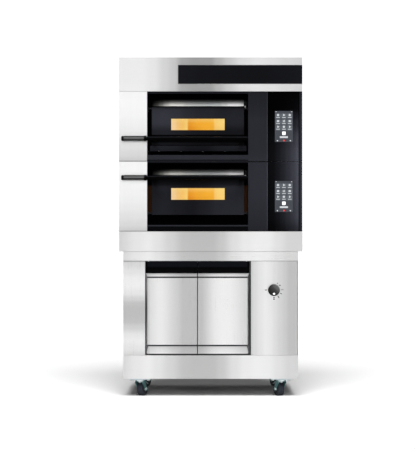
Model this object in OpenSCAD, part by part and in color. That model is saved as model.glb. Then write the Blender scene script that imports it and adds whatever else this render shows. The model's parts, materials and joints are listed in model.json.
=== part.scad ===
// Two-deck electric bakery oven with an extraction hood, on a heated prover cabinet with four swivel castors.
// Millimetres. X runs to the right, the front faces -Y, Z is up. The origin is on the floor, midway between
// the left and right sides and midway between the front of the handles and the rear of the exhaust spigot.

/* [Whole machine] */
// Overall width of the oven decks, hood and support band
body_w = 990; // [986:1:994]
// Depth of the oven casing, without handles and spigot
body_d = 860; // [850:2:880]
// Height of one baking deck
deck_h = 378; // [376:1:382]
// Height of the extraction hood
hood_h = 184; // [182:1:190]
// Height of the stainless band that carries the decks
band_h = 108; // [104:1:112]
// Height of the castors, floor to plinth
castor_h = 97; // [97:1:99]
// Thickness of the outer sheet
sheet = 2; // [1.6:0.2:2]

/* [Oven front] */
// Width of the stainless panel on the left of each deck
left_panel_w = 152; // [150:1:154]
// Width of the recessed bay that holds the oven door
bay_w = 545.5; // [544:0.5:547]
// Depth of the bay, front plane to its back plate
bay_d = 113; // [112:1:116]
// Width of the charcoal cover beside the bay
column_cover_w = 105.5; // [104:0.5:107]
// Width of the dark strip on the right edge
edge_strip_w = 15; // [13:1:16]
// Touchscreen width
screen_w = 97; // [92:1:100]
// Touchscreen height
screen_h = 167; // [160:1:170]

/* [Oven door] */
// Door width
door_w = 501; // [496:1:505]
// Door height
door_h = 208; // [204:0.5:210]
// Door thickness, outer face to inner face
door_t = 44; // [43:1:44]
// Window width
window_w = 291; // [280:1:300]
// Window height
window_h = 63.5; // [60:0.5:70]
// Opening angle both oven doors reach, used to size the clearances
door_swing = 85; // [80:1:85]

/* [Handle] */
// Radius of the black handle rod
rod_r = 11; // [10:0.5:11]
// Radius of the side grip
grip_r = 13.75; // [13:0.25:14]
// Length of the side grip
grip_len = 122; // [110:1:122]
// Distance of the rod's axis in front of the oven's front plane
handle_out = 45; // [42:1:45]

/* [Baking chamber] */
// Clear width of the baking chamber
chamber_w = 460; // [440:5:460]
// Clear height of the baking chamber
chamber_h = 160; // [150:2:160]
// Clear depth of the baking chamber
chamber_d = 638; // [600:2:640]
// Thickness of the refractory stone
stone_t = 18; // [14:1:20]

/* [Hood] */
// Outer radius of the exhaust spigot
spigot_r = 75; // [70:1:75]
// Length of the exhaust spigot behind the casing
spigot_len = 50; // [50:1:50]
// Height of the black fascia
fascia_h = 102; // [98:1:104]

/* [Prover] */
// Width of the prover cabinet
prover_w = 944; // [940:1:946]
// Height of the closed plinth
plinth_h = 127; // [126:1:128]
// Width of the left stile
stile_w = 118; // [116:1:120]
// Width of the door opening
opening_w = 572; // [570:1:574]
// Height of the band over the prover doors
top_band_h = 52; // [50:1:54]
// Prover door thickness
leaf_t = 30; // [28:1:30]
// Gap between the two prover doors
leaf_gap = 4.4; // [4:0.2:5]
// Thermostat knob radius
knob_r = 32; // [28:1:34]

/* [Castors] */
// Wheel radius
wheel_r = 37.5; // [36:0.5:37.5]
// Wheel width
wheel_w = 35; // [32:1:35]
// Distance from the swivel axis to the wheel axis
trail = 28; // [26:1:28]
// Swivel angle the castors stand at
swivel = 24; // [0:2:40]
// Side of the square top plate
plate_w = 115; // [110:1:116]

/* [Hidden] */
$fn = 64;
half_w = body_w / 2;
front_y = 5 - body_d / 2;
rear_y = front_y + body_d;
plinth_z = castor_h;
floor_z = castor_h + plinth_h;
prover_h = 688;
prover_z = castor_h + prover_h;
band_z = prover_z;
lower_z = band_z + band_h;
upper_z = lower_z + deck_h;
hood_z = upper_z + deck_h;
top_z = hood_z + hood_h;
seam = 0.5;

bay_x0 = -half_w + left_panel_w;
bay_x1 = bay_x0 + bay_w;
bay_back = front_y + bay_d;
bay_skin = 1.5;
bay_floor = 35;
bay_roof = deck_h - 11;
glass_x0 = bay_x1 + column_cover_w;
glass_x1 = half_w - edge_strip_w;
screen_mid_x = 395.5;
screen_mid_z = 189;

door_mid_x = -69;
door_x0 = door_mid_x - door_w / 2;
door_x1 = door_mid_x + door_w / 2;
door_z0 = 90;
door_z1 = door_z0 + door_h;
door_y0 = front_y + 65;
door_y1 = door_y0 + door_t;
door_skin = 2;
door_split_y = door_y1 - 12;
hinge_y = door_y0 + 10;
hinge_inset = 8.5;
pin_r = 5;
run = 0.08;
window_z = 204;
upper_hinge_z = door_z1 - hinge_inset;
lower_hinge_z = door_z0 + hinge_inset;
rod_y0 = front_y - handle_out;
upper_rod_z = 122.3;
lower_rod_z = 289.5;
rod_x0 = -345;
rod_x1 = 200;
collar_len = 14;
core_r = 6;
bracket_x = [door_x0 + 18, door_x1 - 18];

chamber_x0 = door_mid_x - chamber_w / 2;
chamber_x1 = door_mid_x + chamber_w / 2;
chamber_y0 = bay_back + bay_skin + 0.5;
chamber_y1 = chamber_y0 + chamber_d;
chamber_z0 = 110;
chamber_z1 = chamber_z0 + chamber_h;
liner = 2;
mouth_lip = 5;
element_r = 4;
element_pitch = 90;
element_count = 5;
stone_z = chamber_z0 + 20;

fascia_x0 = -176;
fascia_z0 = hood_z + 41;
spigot_z = hood_z + 92;
filter_y = rear_y - 120;
slot_x0 = -300;
slot_x1 = 160;
slot_y0 = bay_back - 34;
slot_y1 = bay_back - 14;

prover_front_y = front_y + 5;
prover_rear_y = rear_y - 23;
half_p = prover_w / 2;
opening_x0 = -half_p + stile_w;
opening_x1 = opening_x0 + opening_w;
opening_z1 = prover_z - top_band_h;
panel_d = 20;
panel_skin = 1.5;
column_x1 = half_p - 5;
knob_x = 342;
knob_z = 577;

leaf_y0 = prover_front_y + 3;
leaf_y1 = leaf_y0 + leaf_t;
leaf_pin_y = prover_front_y + 19;
leaf_pin_in = 18;
leaf_pin_r = 4;
leaf_z0 = floor_z + 3;
leaf_z1 = opening_z1 - 3;
split_x = -71;
leaf_face_in = 12.5;
rail_z0 = leaf_z1 - 30;
scoop_z0 = rail_z0 - 32;
scoop_z1 = scoop_z0 - 19;
groove_z = scoop_z1 - 7;
ledge_z = leaf_z0 + 53;
back_skin = 5;

cabin_x0 = opening_x0 + 8;
cabin_x1 = opening_x1 - 8;
cabin_y0 = leaf_y1 + 9;
cabin_y1 = prover_rear_y - 32;
cabin_z0 = floor_z + 8;
cabin_z1 = opening_z1 - 5;

castor_x = half_p - 89;
castor_y = [prover_front_y + 65, prover_rear_y - 65];
axle_r = 5;
kingpin_r = 6;
crown_z0 = castor_h - 16;
crown_z1 = castor_h - 11.4;
race_z = castor_h - 11;
plate_t = 5;

// Colours of the visible materials
steel = [0.80, 0.80, 0.79];
bright = [0.88, 0.88, 0.88];
charcoal = [0.13, 0.14, 0.16];
black = [0.04, 0.04, 0.05];
slate = [0.24, 0.27, 0.31];
amber = [0.95, 0.66, 0.25, 0.6];
stone = [0.78, 0.70, 0.58];
wool = [0.85, 0.80, 0.62];
board = [0.10, 0.35, 0.18];
copper = [0.45, 0.42, 0.40];

// Box between two corners
module box(x0, x1, y0, y1, z0, z1) {
  translate([x0, y0, z0])
    cube([x1 - x0, y1 - y0, z1 - z0]);
}

// Round bar along X
module bar_x(x0, x1, y, z, r) {
  translate([x0, y, z])
    rotate([0, 90, 0])
      cylinder(h = x1 - x0, r = r);
}

// Round bar along Y
module bar_y(y0, y1, x, z, r) {
  translate([x, y1, z])
    rotate([90, 0, 0])
      cylinder(h = y1 - y0, r = r);
}

// Round bar along Z
module bar_z(z0, z1, x, y, r) {
  translate([x, y, z0])
    cylinder(h = z1 - z0, r = r);
}

// Section in Y and Z, extruded along X
module section_x(x0, x1, points) {
  translate([x0, 0, 0])
    rotate([90, 0, 90])
      linear_extrude(height = x1 - x0)
        polygon(points);
}

// Outline in X and Z, extruded along Y
module section_y(y0, y1, points) {
  translate([0, y1, 0])
    rotate([90, 0, 0])
      linear_extrude(height = y1 - y0)
        polygon(points);
}

// Folded panel: a front skin with returned edges, open at the rear
module folded_panel(x0, x1, z0, z1, y0, depth, skin) {
  difference() {
    box(x0, x1, y0, y0 + depth, z0, z1);
    box(x0 + skin, x1 - skin, y0 + skin, y0 + depth + 1, z0 + skin, z1 - skin);
  }
}

// Hollow box closed at the rear and open at the front
module open_box(x0, x1, y0, y1, z0, z1, wall) {
  difference() {
    box(x0, x1, y0, y1, z0, z1);
    box(x0 + wall, x1 - wall, y0 - 1, y1 - wall, z0 + wall, z1 - wall);
  }
}

// Stainless outer sheet of one deck, with the left front panel and vent slots low on the right side
module casing(z, roof_slot) {
  difference() {
    box(-half_w, half_w, front_y, rear_y, z + seam, z + deck_h - seam);
    box(-half_w + sheet, half_w - sheet, front_y + sheet, rear_y - sheet,
        z + seam + sheet, z + deck_h - seam - sheet);
    box(bay_x0, half_w + 1, front_y - 1, front_y + 30.5, z - 1, z + deck_h + 1);
    box(bay_x0, bay_x1, front_y - 1, bay_back + bay_skin + 0.2, z - 1, z + deck_h + 1);
    box(-300, 120, rear_y - sheet - 1, rear_y + 1, z + 90, z + 290);
    for (k = [0 : 7])
      box(half_w - sheet - 1, half_w + 1, 150 + 28 * k, 160 + 28 * k, z + 60, z + 150);
    if (!roof_slot)
      bar_y(rear_y - sheet - 1, rear_y + 1, 400, z + 60, 8.4);
  }
}

module lower_casing() {
  color(steel)
    casing(lower_z, false);
}

module upper_casing() {
  color(steel)
    casing(upper_z, true);
}

// Black sheet recess that frames one oven door, with the chamber mouth in its back plate
module bay(z, roof_slot) {
  z0 = z + seam;
  z1 = z + deck_h - seam;
  difference() {
    box(bay_x0, bay_x1, front_y, bay_back + bay_skin, z0, z1);
    box(bay_x0 + bay_skin, bay_x1 - bay_skin, front_y - 1, bay_back, z + bay_floor, z + bay_roof);
    box(bay_x0 + bay_skin, bay_x1 - bay_skin, front_y + bay_skin, bay_back + 9,
        z0 - 1, z + bay_floor - bay_skin);
    box(bay_x0 + bay_skin, bay_x1 - bay_skin, front_y + bay_skin, bay_back + 9,
        z + bay_roof + bay_skin, z1 + 1);
    box(chamber_x0 + mouth_lip, chamber_x1 - mouth_lip, bay_back - 1, bay_back + 9,
        z + chamber_z0 + mouth_lip, z + chamber_z1 - mouth_lip);
    if (roof_slot)
      box(slot_x0, slot_x1, slot_y0, slot_y1, z + bay_roof - 1, z1 + 1);
  }
}

module lower_bay() {
  color(black)
    bay(lower_z, false);
}

module upper_bay() {
  color(black)
    bay(upper_z, true);
}

// Charcoal folded cover beside the bay, with the pocket that carries the control glass
module column_sheet(z) {
  y = front_y;
  translate([0, 0, z + seam + 0.3])
    linear_extrude(height = deck_h - 2 * seam - 0.6)
      polygon([
        [bay_x1, y + 30], [bay_x1, y], [glass_x0, y], [glass_x0, y + 6],
        [glass_x1, y + 6], [glass_x1, y], [half_w, y], [half_w, y + 30],
        [half_w - 2, y + 30], [half_w - 2, y + 2], [glass_x1 + 2, y + 2], [glass_x1 + 2, y + 8],
        [glass_x0 - 2, y + 8], [glass_x0 - 2, y + 2], [bay_x1 + 2, y + 2], [bay_x1 + 2, y + 30]
      ]);
}

module lower_column() {
  color(charcoal)
    column_sheet(lower_z);
}

module upper_column() {
  color(charcoal)
    column_sheet(upper_z);
}

// Gloss black control glasses, one per deck, each with the screen aperture
module control_glasses() {
  color(black)
    for (z = [lower_z, upper_z])
      difference() {
        box(glass_x0, glass_x1, front_y, front_y + 6, z + seam + 0.3, z + deck_h - seam - 0.3);
        box(screen_mid_x - screen_w / 2, screen_mid_x + screen_w / 2, front_y - 1, front_y + 7,
            z + screen_mid_z - screen_h / 2, z + screen_mid_z + screen_h / 2);
      }
}

// Touchscreen modules, set flush in the glasses
module touchscreens() {
  color(slate)
    for (z = [lower_z, upper_z])
      box(screen_mid_x - screen_w / 2, screen_mid_x + screen_w / 2, front_y, front_y + 6,
          z + screen_mid_z - screen_h / 2, z + screen_mid_z + screen_h / 2);
}

// Steel baking chambers with holes in the rear wall for the heating elements
module chambers() {
  color(copper)
    for (z = [lower_z, upper_z])
      difference() {
        open_box(chamber_x0 - liner, chamber_x1 + liner, chamber_y0, chamber_y1 + liner,
                 z + chamber_z0 - liner, z + chamber_z1 + liner, liner);
        for (k = [0 : element_count - 1])
          for (h = [10, chamber_h - 10])
            bar_y(chamber_y1 - 1, chamber_y1 + liner + 1, element_x(k), z + chamber_z0 + h,
                  element_r + 0.3);
      }
}

// Refractory baking stones on two ledges each
module baking_stones() {
  color(stone)
    for (z = [lower_z, upper_z]) {
      box(chamber_x0 + 4, chamber_x1 - 4, chamber_y0 + 8, chamber_y1 - 8,
          z + stone_z, z + stone_z + stone_t);
      for (x = [chamber_x0 + 2, chamber_x1 - 10])
        box(x, x + 8, chamber_y0 + 20, chamber_y1 - 20, z + chamber_z0, z + stone_z);
    }
}

function element_x(k) = door_mid_x + (k - (element_count - 1) / 2) * element_pitch;

// Tubular heating elements above and below the stone, with terminals behind the chamber
module heating_elements() {
  color(copper)
    for (z = [lower_z, upper_z])
      for (k = [0 : element_count - 1])
        for (h = [10, chamber_h - 10]) {
          bar_y(chamber_y0 + 30, chamber_y1 + liner + 10, element_x(k), z + chamber_z0 + h, element_r);
        }
}

// Mineral wool slabs around both chambers
module insulation() {
  y0 = bay_back + bay_skin + 6;
  color(wool)
    for (z = [lower_z, upper_z]) {
      box(bay_x0 + 2, bay_x1 - 4, y0, rear_y - 40, z + chamber_z1 + liner + 1, z + chamber_z1 + 70);
      box(bay_x0 + 2, bay_x1 - 4, y0, rear_y - 40, z + 40, z + chamber_z0 - liner - 1);
      box(bay_x0 + 2, chamber_x0 - liner - 1, y0, rear_y - 40,
          z + chamber_z0 - liner, z + chamber_z1 + liner);
      box(chamber_x1 + liner + 1, bay_x1 - 4, y0, rear_y - 40,
          z + chamber_z0 - liner, z + chamber_z1 + liner);
      box(chamber_x0 - liner, chamber_x1 + liner, chamber_y1 + liner + 16, rear_y - 40,
          z + chamber_z0 - liner, z + chamber_z1 + liner);
    }
}

// Chamber lamps: a round lens and its ring on the right wall of each chamber
module chamber_lamps() {
  color(amber)
    for (z = [lower_z, upper_z]) {
      bar_x(chamber_x1 - 8, chamber_x1, chamber_y0 + 420, z + 205, 26);
      bar_x(chamber_x1 - 14, chamber_x1 - 8, chamber_y0 + 420, z + 205, 20);
    }
}

// Control boards behind the glass: carrier board, two relay blocks and a screen socket
module control_boards() {
  x0 = bay_x1 + 30;
  x1 = half_w - 30;
  y0 = front_y + 60;
  color(board)
    for (z = [lower_z, upper_z]) {
      box(x0, x1, y0, y0 + 2, z + 60, z + 320);
      box(x0 + 20, x0 + 70, y0 + 2, y0 + 30, z + 90, z + 180);
      box(x0 + 90, x0 + 140, y0 + 2, y0 + 26, z + 90, z + 180);
      box(x0 + 60, x1 - 50, y0 - 10, y0, z + 240, z + 290);
    }
}

// Braided door seals around the chamber mouths
module door_seals() {
  y0 = bay_back - 3.4;
  color(charcoal)
    for (z = [lower_z, upper_z])
      difference() {
        box(chamber_x0 - 8, chamber_x1 + 8, y0, bay_back, z + chamber_z0 - 8, z + chamber_z1 + 8);
        box(chamber_x0, chamber_x1, y0 - 1, bay_back + 1, z + chamber_z0, z + chamber_z1);
      }
}

// Outer half of an oven door: folded panel with the window aperture and hinge blocks
module door_panel(z, hinge_z) {
  wx0 = door_mid_x - window_w / 2;
  wx1 = door_mid_x + window_w / 2;
  difference() {
    union() {
      difference() {
        box(door_x0, door_x1, door_y0, door_split_y, z + door_z0, z + door_z1);
        box(door_x0 + door_skin, door_x1 - door_skin, door_y0 + door_skin, door_split_y + 1,
            z + door_z0 + door_skin, z + door_z1 - door_skin);
      }
      for (x = [door_x0 + 1, door_x1 - 21])
        box(x, x + 20, door_y0 + 1, door_y0 + 20,
            z + hinge_z - hinge_inset + 1, z + hinge_z + hinge_inset - 1);
    }
    box(wx0, wx1, door_y0 - 1, door_y0 + 3, z + window_z - window_h / 2, z + window_z + window_h / 2);
    bar_x(door_x0 - 1, door_x0 + 18, hinge_y, z + hinge_z, pin_r + run);
    bar_x(door_x1 - 18, door_x1 + 1, hinge_y, z + hinge_z, pin_r + run);
  }
}

module lower_door_panel() {
  color(charcoal)
    door_panel(lower_z, lower_hinge_z);
}

module upper_door_panel() {
  color(charcoal)
    door_panel(upper_z, upper_hinge_z);
}

// Outer and inner panes of an oven door
module door_panes(z) {
  for (y = [door_y0 + door_skin, door_y1 - 6])
    box(door_mid_x - window_w / 2 - 9, door_mid_x + window_w / 2 + 9, y, y + 4,
        z + window_z - window_h / 2 - 9, z + window_z + window_h / 2 + 9);
}

module lower_door_glass() {
  color(amber)
    door_panes(lower_z);
}

module upper_door_glass() {
  color(amber)
    door_panes(upper_z);
}

// Inner stainless plate of an oven door, with its rim and the inner window aperture
module door_back(z) {
  difference() {
    box(door_x0, door_x1, door_split_y, door_y1, z + door_z0, z + door_z1);
    box(door_x0 + 2, door_x1 - 2, door_split_y - 1, door_y1 - 2, z + door_z0 + 2, z + door_z1 - 2);
    box(door_mid_x - window_w / 2, door_mid_x + window_w / 2, door_y1 - 3, door_y1 + 1,
        z + window_z - window_h / 2, z + window_z + window_h / 2);
  }
}

module lower_door_back() {
  color(steel)
    door_back(lower_z);
}

module upper_door_back() {
  color(steel)
    door_back(upper_z);
}

// Handle rod with its collar, the core for the grip and two square brackets to the door face
module handle_bar(z) {
  bar_x(rod_x0, rod_x1 - 3, rod_y0, z, rod_r);
  translate([rod_x1 - 3, rod_y0, z])
    rotate([0, 90, 0])
      cylinder(h = 3, r1 = rod_r, r2 = rod_r - 2);
  bar_x(rod_x0 - collar_len, rod_x0, rod_y0, z, 15);
  bar_x(rod_x0 - collar_len - grip_len + 8, rod_x0, rod_y0, z, core_r);
  for (x = bracket_x)
    box(x - 9, x + 9, rod_y0, door_y0, z - 8, z + 8);
}

module lower_handle_bar() {
  color(black)
    handle_bar(lower_z + lower_rod_z);
}

module upper_handle_bar() {
  color(black)
    handle_bar(upper_z + upper_rod_z);
}

// Side grip with a chamfered end cap
module handle_grip(z) {
  x1 = rod_x0 - collar_len;
  x0 = x1 - grip_len;
  difference() {
    union() {
      bar_x(x0 + 4, x1, rod_y0, z, grip_r);
      translate([x0, rod_y0, z])
        rotate([0, 90, 0])
          cylinder(h = 4, r1 = grip_r - 3.5, r2 = grip_r);
    }
    bar_x(x0 + 8, x1 + 1, rod_y0, z, core_r);
  }
}

module lower_handle_grip() {
  color(charcoal)
    handle_grip(lower_z + lower_rod_z);
}

module upper_handle_grip() {
  color(charcoal)
    handle_grip(upper_z + upper_rod_z);
}

// Sloped stainless strips over both oven doors
module door_visors() {
  y0 = door_y0 - 14;
  y1 = y0 + 31;
  color(bright)
    for (z = [lower_z, upper_z])
      section_x(door_x0 + 4, door_x1 - 2, [
        [y0, z + door_z1 + 3.5], [y0 + 1.8, z + door_z1 + 3.5], [y1, z + door_z1 + 41.5],
        [bay_back, z + door_z1 + 41.5], [bay_back, z + door_z1 + 43], [y1 - 1, z + door_z1 + 43]
      ]);
}

// Dark sill in front of the upper door's lower edge
module upper_sill() {
  y0 = door_y0 - 12;
  color(charcoal)
    section_x(bay_x0 + 14, bay_x1 - 8, [
      [y0, upper_z + 57], [bay_back, upper_z + 57], [bay_back, upper_z + 59],
      [y0 + 2, upper_z + 59], [y0 + 2, upper_z + door_z0 - 3.2], [y0, upper_z + door_z0 - 3.2]
    ]);
}

// Extraction hood shell with the fascia cutout, the floor slot and the exhaust hole
module hood_shell() {
  color(steel)
    difference() {
      box(-half_w, half_w, front_y, rear_y, hood_z + seam, top_z);
      box(-half_w + sheet, half_w - sheet, front_y + sheet, rear_y - sheet,
          hood_z + seam + sheet, top_z - sheet);
      box(fascia_x0, half_w + 1, front_y - 1, front_y + 4, fascia_z0, fascia_z0 + fascia_h);
      box(slot_x0, slot_x1, slot_y0, slot_y1, hood_z - 1, hood_z + 4);
      bar_y(rear_y - sheet - 1, rear_y + 1, 0, spigot_z, spigot_r - 1.5);
    }
}

// Black fascia plate let into the hood's front
module hood_fascia() {
  color(black)
    box(fascia_x0 + 0.4, half_w, front_y, front_y + 3.8, fascia_z0 + 0.4, fascia_z0 + fascia_h - 0.4);
}

// Grease filter: a frame with upright slats in front of the exhaust
module grease_filter() {
  x0 = -200;
  x1 = 200;
  z0 = hood_z + seam + sheet;
  z1 = top_z - sheet;
  color(steel) {
    difference() {
      box(x0, x1, filter_y, filter_y + 20, z0, z1);
      box(x0 + 12, x1 - 12, filter_y - 1, filter_y + 21, z0 + 12, z1 - 12);
    }
    for (k = [0 : 8])
      box(x0 + 30 + 41 * k, x0 + 42 + 41 * k, filter_y + 4, filter_y + 16, z0 + 12, z1 - 12);
  }
}

// Round exhaust spigot with its flange on the hood's rear
module exhaust_spigot() {
  color(steel)
    difference() {
      union() {
        bar_y(rear_y, rear_y + 2, 0, spigot_z, spigot_r + 13);
        bar_y(rear_y, rear_y + spigot_len, 0, spigot_z, spigot_r);
      }
      bar_y(rear_y - 1, rear_y + spigot_len + 1, 0, spigot_z, spigot_r - 1.5);
    }
}

// Stainless band between the decks and the prover, open underneath
module support_frame() {
  color(steel)
    difference() {
      box(-half_w, half_w, front_y, rear_y, band_z + seam, lower_z);
      box(-half_w + sheet, half_w - sheet, front_y + sheet, rear_y - sheet,
          band_z - 1, lower_z - sheet);
    }
}

// Prover carcass: two sides, the back and the top
module prover_shell() {
  y0 = prover_front_y + panel_d + 1;
  color(steel)
    difference() {
      box(-half_p, half_p, y0, prover_rear_y, floor_z + seam, prover_z);
      box(-half_p + sheet, half_p - sheet, y0 - 1, prover_rear_y - sheet, floor_z - 1, prover_z - sheet);
    }
}

// Prover cabin liner with its front flange
module prover_liner() {
  color(bright)
    difference() {
      union() {
        box(cabin_x0 - 1.5, cabin_x1 + 1.5, cabin_y0, cabin_y1 + 1.5, cabin_z0 - 1.5, cabin_z1 + 1.5);
        box(cabin_x0 - 40, cabin_x1 + 40, cabin_y0, cabin_y0 + 1.5, floor_z + 1, prover_z - sheet - 1);
      }
      box(cabin_x0, cabin_x1, cabin_y0 - 1, cabin_y1, cabin_z0, cabin_z1);
    }
}

// Left stile and the band over the doors
module prover_front() {
  y = prover_front_y;
  color(steel) {
    folded_panel(-half_p, opening_x0, floor_z + seam, opening_z1 - seam, y, panel_d, panel_skin);
    folded_panel(-half_p, half_p, opening_z1 + seam, prover_z, y, panel_d, panel_skin);
  }
}

// Right control column of the prover, with the shaft hole
module prover_column() {
  color(steel)
    difference() {
      folded_panel(opening_x1, column_x1, floor_z + seam, opening_z1 - seam,
                   prover_front_y, panel_d, panel_skin);
      bar_y(prover_front_y - 1, prover_front_y + 3, knob_x, knob_z, 5);
    }
}

// Closed plinth, open at the top under the carcass and carrying the castors
module prover_plinth() {
  color(steel)
    difference() {
      box(-half_p, half_p, prover_front_y, prover_rear_y, plinth_z, floor_z);
      box(-half_p + sheet, half_p - sheet, prover_front_y + 40, prover_rear_y - sheet,
          plinth_z + sheet, floor_z + 1);
      box(-half_p + sheet, half_p - sheet, prover_front_y + sheet, prover_front_y + 41,
          plinth_z + sheet, floor_z - sheet);
    }
}

// Angle runners for trays on both cabin walls
module tray_runners() {
  y0 = cabin_y0 + 30;
  y1 = cabin_y1 - 30;
  color(bright)
    for (k = [0 : 4]) {
      z = cabin_z0 + 90 + 80 * k;
      section_y(y0, y1, [
        [cabin_x0, z], [cabin_x0 + 24, z], [cabin_x0 + 24, z + 1.5],
        [cabin_x0 + 1.5, z + 1.5], [cabin_x0 + 1.5, z + 20], [cabin_x0, z + 20]
      ]);
      section_y(y0, y1, [
        [cabin_x1, z], [cabin_x1, z + 20], [cabin_x1 - 1.5, z + 20],
        [cabin_x1 - 1.5, z + 1.5], [cabin_x1 - 24, z + 1.5], [cabin_x1 - 24, z]
      ]);
    }
}

// Water pan of the humidifier on the cabin floor
module humidifier_pan() {
  x0 = cabin_x0 + 60;
  y0 = cabin_y1 - 280;
  color(bright)
    difference() {
      box(x0, x0 + 160, y0, y0 + 220, cabin_z0, cabin_z0 + 45);
      box(x0 + 1.5, x0 + 158.5, y0 + 1.5, y0 + 218.5, cabin_z0 + 1.5, cabin_z0 + 46);
    }
}

// Prover heater: three rods in two end brackets
module prover_heater() {
  x0 = cabin_x1 - 240;
  y0 = cabin_y1 - 280;
  color(copper) {
    for (y = [y0, y0 + 200])
      difference() {
        box(x0, x0 + 150, y, y + 3, cabin_z0, cabin_z0 + 40);
        for (k = [0 : 2])
          bar_y(y - 1, y + 4, x0 + 35 + 40 * k, cabin_z0 + 24, 5.2);
      }
    for (k = [0 : 2])
      bar_y(y0 - 12, y0 + 215, x0 + 35 + 40 * k, cabin_z0 + 24, 5);
  }
}

// Thermostat body behind the prover column
module thermostat() {
  y0 = prover_front_y + panel_skin;
  color(bright)
    difference() {
      union() {
        box(knob_x - 22, knob_x + 22, y0, y0 + 17, knob_z - 22, knob_z + 22);
        bar_y(y0 + 17, y0 + 40, knob_x, knob_z, 16);
      }
      bar_y(y0 - 1, y0 + 28, knob_x, knob_z, 3 + run);
    }
}

// Thermostat knob with a shallow front dish, a skirt and its shaft
module thermostat_knob() {
  y = prover_front_y;
  color(black) {
    difference() {
      union() {
        translate([knob_x, y - 1, knob_z])
          rotate([90, 0, 0])
            cylinder(h = 16, r = knob_r);
        translate([knob_x, y - 17, knob_z])
          rotate([90, 0, 0])
            cylinder(h = 3, r1 = knob_r, r2 = knob_r - 3);
      }
      bar_y(y - 21, y - 18.6, knob_x, knob_z, knob_r - 6);
    }
    bar_y(y - 1, y + 26, knob_x, knob_z, 3);
  }
}

// Prover door leaf, built for the left side: ledge, face, groove, grip slope and back skin.
// The outer edge is bevelled so that the leaf swings about its inset pins.
module door_leaf() {
  x0 = opening_x0 + 2;
  x1 = split_x - leaf_gap / 2;
  yf = leaf_y0;
  pin_x = opening_x0 + leaf_pin_in;
  difference() {
    section_x(x0, x1, [
      [yf + 1, leaf_z0], [leaf_y1, leaf_z0], [leaf_y1, leaf_z1], [leaf_y1 - back_skin, leaf_z1],
      [leaf_y1 - back_skin, scoop_z0], [yf + 13, scoop_z0 - 1], [yf, scoop_z1],
      [yf + 3, scoop_z1], [yf + 3, groove_z], [yf, groove_z],
      [yf, ledge_z], [yf + 15, ledge_z], [yf + 15, ledge_z - 3], [yf + 1, leaf_z0 + 2]
    ]);
    translate([0, 0, leaf_z0 - 1])
      linear_extrude(height = leaf_z1 - leaf_z0 + 2)
        polygon([[x0 - 1, yf - 1], [opening_x0 + leaf_face_in, yf - 1],
                 [opening_x0 + leaf_face_in, yf], [x0, yf + 14], [x0 - 1, yf + 14]]);
    section_y(yf - 1, yf + 15, [
      [x0 - 1, leaf_z0 - 1], [opening_x0 + 5, leaf_z0 - 1], [opening_x0 + 17, ledge_z],
      [x0 - 1, ledge_z]
    ]);
    box(pin_x + 8, x1 - 2, yf + 17, leaf_y1 - 1.5, leaf_z0 + 2, ledge_z + 4);
    box(pin_x + 8, x1 - 2, yf + 4.5, leaf_y1 - 1.5, ledge_z + 2, groove_z - 2);
    box(pin_x + 8, x1 - 2, yf + 14, leaf_y1 - 1.5, groove_z - 3, scoop_z1 + 8);
    bar_z(leaf_z0 - 1, leaf_z0 + 18, pin_x, leaf_pin_y, leaf_pin_r + run);
    bar_z(leaf_z1 - 18, leaf_z1 + 1, pin_x, leaf_pin_y, leaf_pin_r + run);
  }
}

// Black rail over the finger gap, built for the left side
module door_rail() {
  x0 = opening_x0 + leaf_face_in;
  x1 = split_x - leaf_gap / 2;
  yf = leaf_y0;
  yb = leaf_y1 - back_skin;
  difference() {
    section_x(x0, x1, [
      [yf, rail_z0], [yf, leaf_z1], [yb, leaf_z1], [yb, scoop_z0 + 0.3],
      [yb - 3, scoop_z0 + 0.3], [yb - 3, leaf_z1 - 6], [yf + 8, leaf_z1 - 6], [yf + 8, rail_z0]
    ]);
    bar_z(leaf_z1 - 18, leaf_z1 + 1, opening_x0 + leaf_pin_in, leaf_pin_y, leaf_pin_r + run);
  }
}

// The right door mirrors the left one about the gap between them
module right_hand() {
  translate([2 * split_x, 0, 0])
    mirror([1, 0, 0])
      children();
}

module prover_door_left() {
  color(steel)
    door_leaf();
}

module prover_rail_left() {
  color(black)
    door_rail();
}

module prover_door_right() {
  color(steel)
    right_hand()
      door_leaf();
}

module prover_rail_right() {
  color(black)
    right_hand()
      door_rail();
}

// Fixed hinge pins: two along X for each oven door, two upright ones for each prover door
module hinge_pins() {
  x0 = opening_x0 + leaf_pin_in;
  color(bright) {
    for (z = [lower_z + lower_hinge_z, upper_z + upper_hinge_z]) {
      bar_x(bay_x0 + bay_skin, door_x0 + 16, hinge_y, z, pin_r);
      bar_x(door_x1 - 16, bay_x1 - bay_skin, hinge_y, z, pin_r);
      bar_x(bay_x0 + bay_skin, bay_x0 + bay_skin + 6, hinge_y, z, pin_r + 4);
      bar_x(bay_x1 - bay_skin - 6, bay_x1 - bay_skin, hinge_y, z, pin_r + 4);
    }
    for (x = [x0, 2 * split_x - x0]) {
      bar_z(opening_z1 - 18, opening_z1 + seam, x, leaf_pin_y, leaf_pin_r);
      bar_z(floor_z, floor_z + 18, x, leaf_pin_y, leaf_pin_r);
    }
  }
}

// Castor top plates with race, swivel pin and rivet head
module castor_plates() {
  z1 = castor_h;
  h = plate_w / 2;
  color(bright)
    for (x = [-castor_x, castor_x])
      for (y = castor_y)
        translate([x, y, 0])
          difference() {
            union() {
              box(-h, h, -h, h, z1 - plate_t, z1);
              bar_z(race_z, z1 - plate_t, 0, 0, 29);
              bar_z(crown_z0 - 8, z1 - plate_t, 0, 0, kingpin_r);
              bar_z(crown_z0 - 9, crown_z0 - 2, 0, 0, 9);
            }
            for (a = [-1, 1])
              for (b = [-1, 1])
                bar_z(z1 - plate_t - 1, z1 + 1, a * (h - 12), b * (h - 12), 4.2);
          }
}

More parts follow.
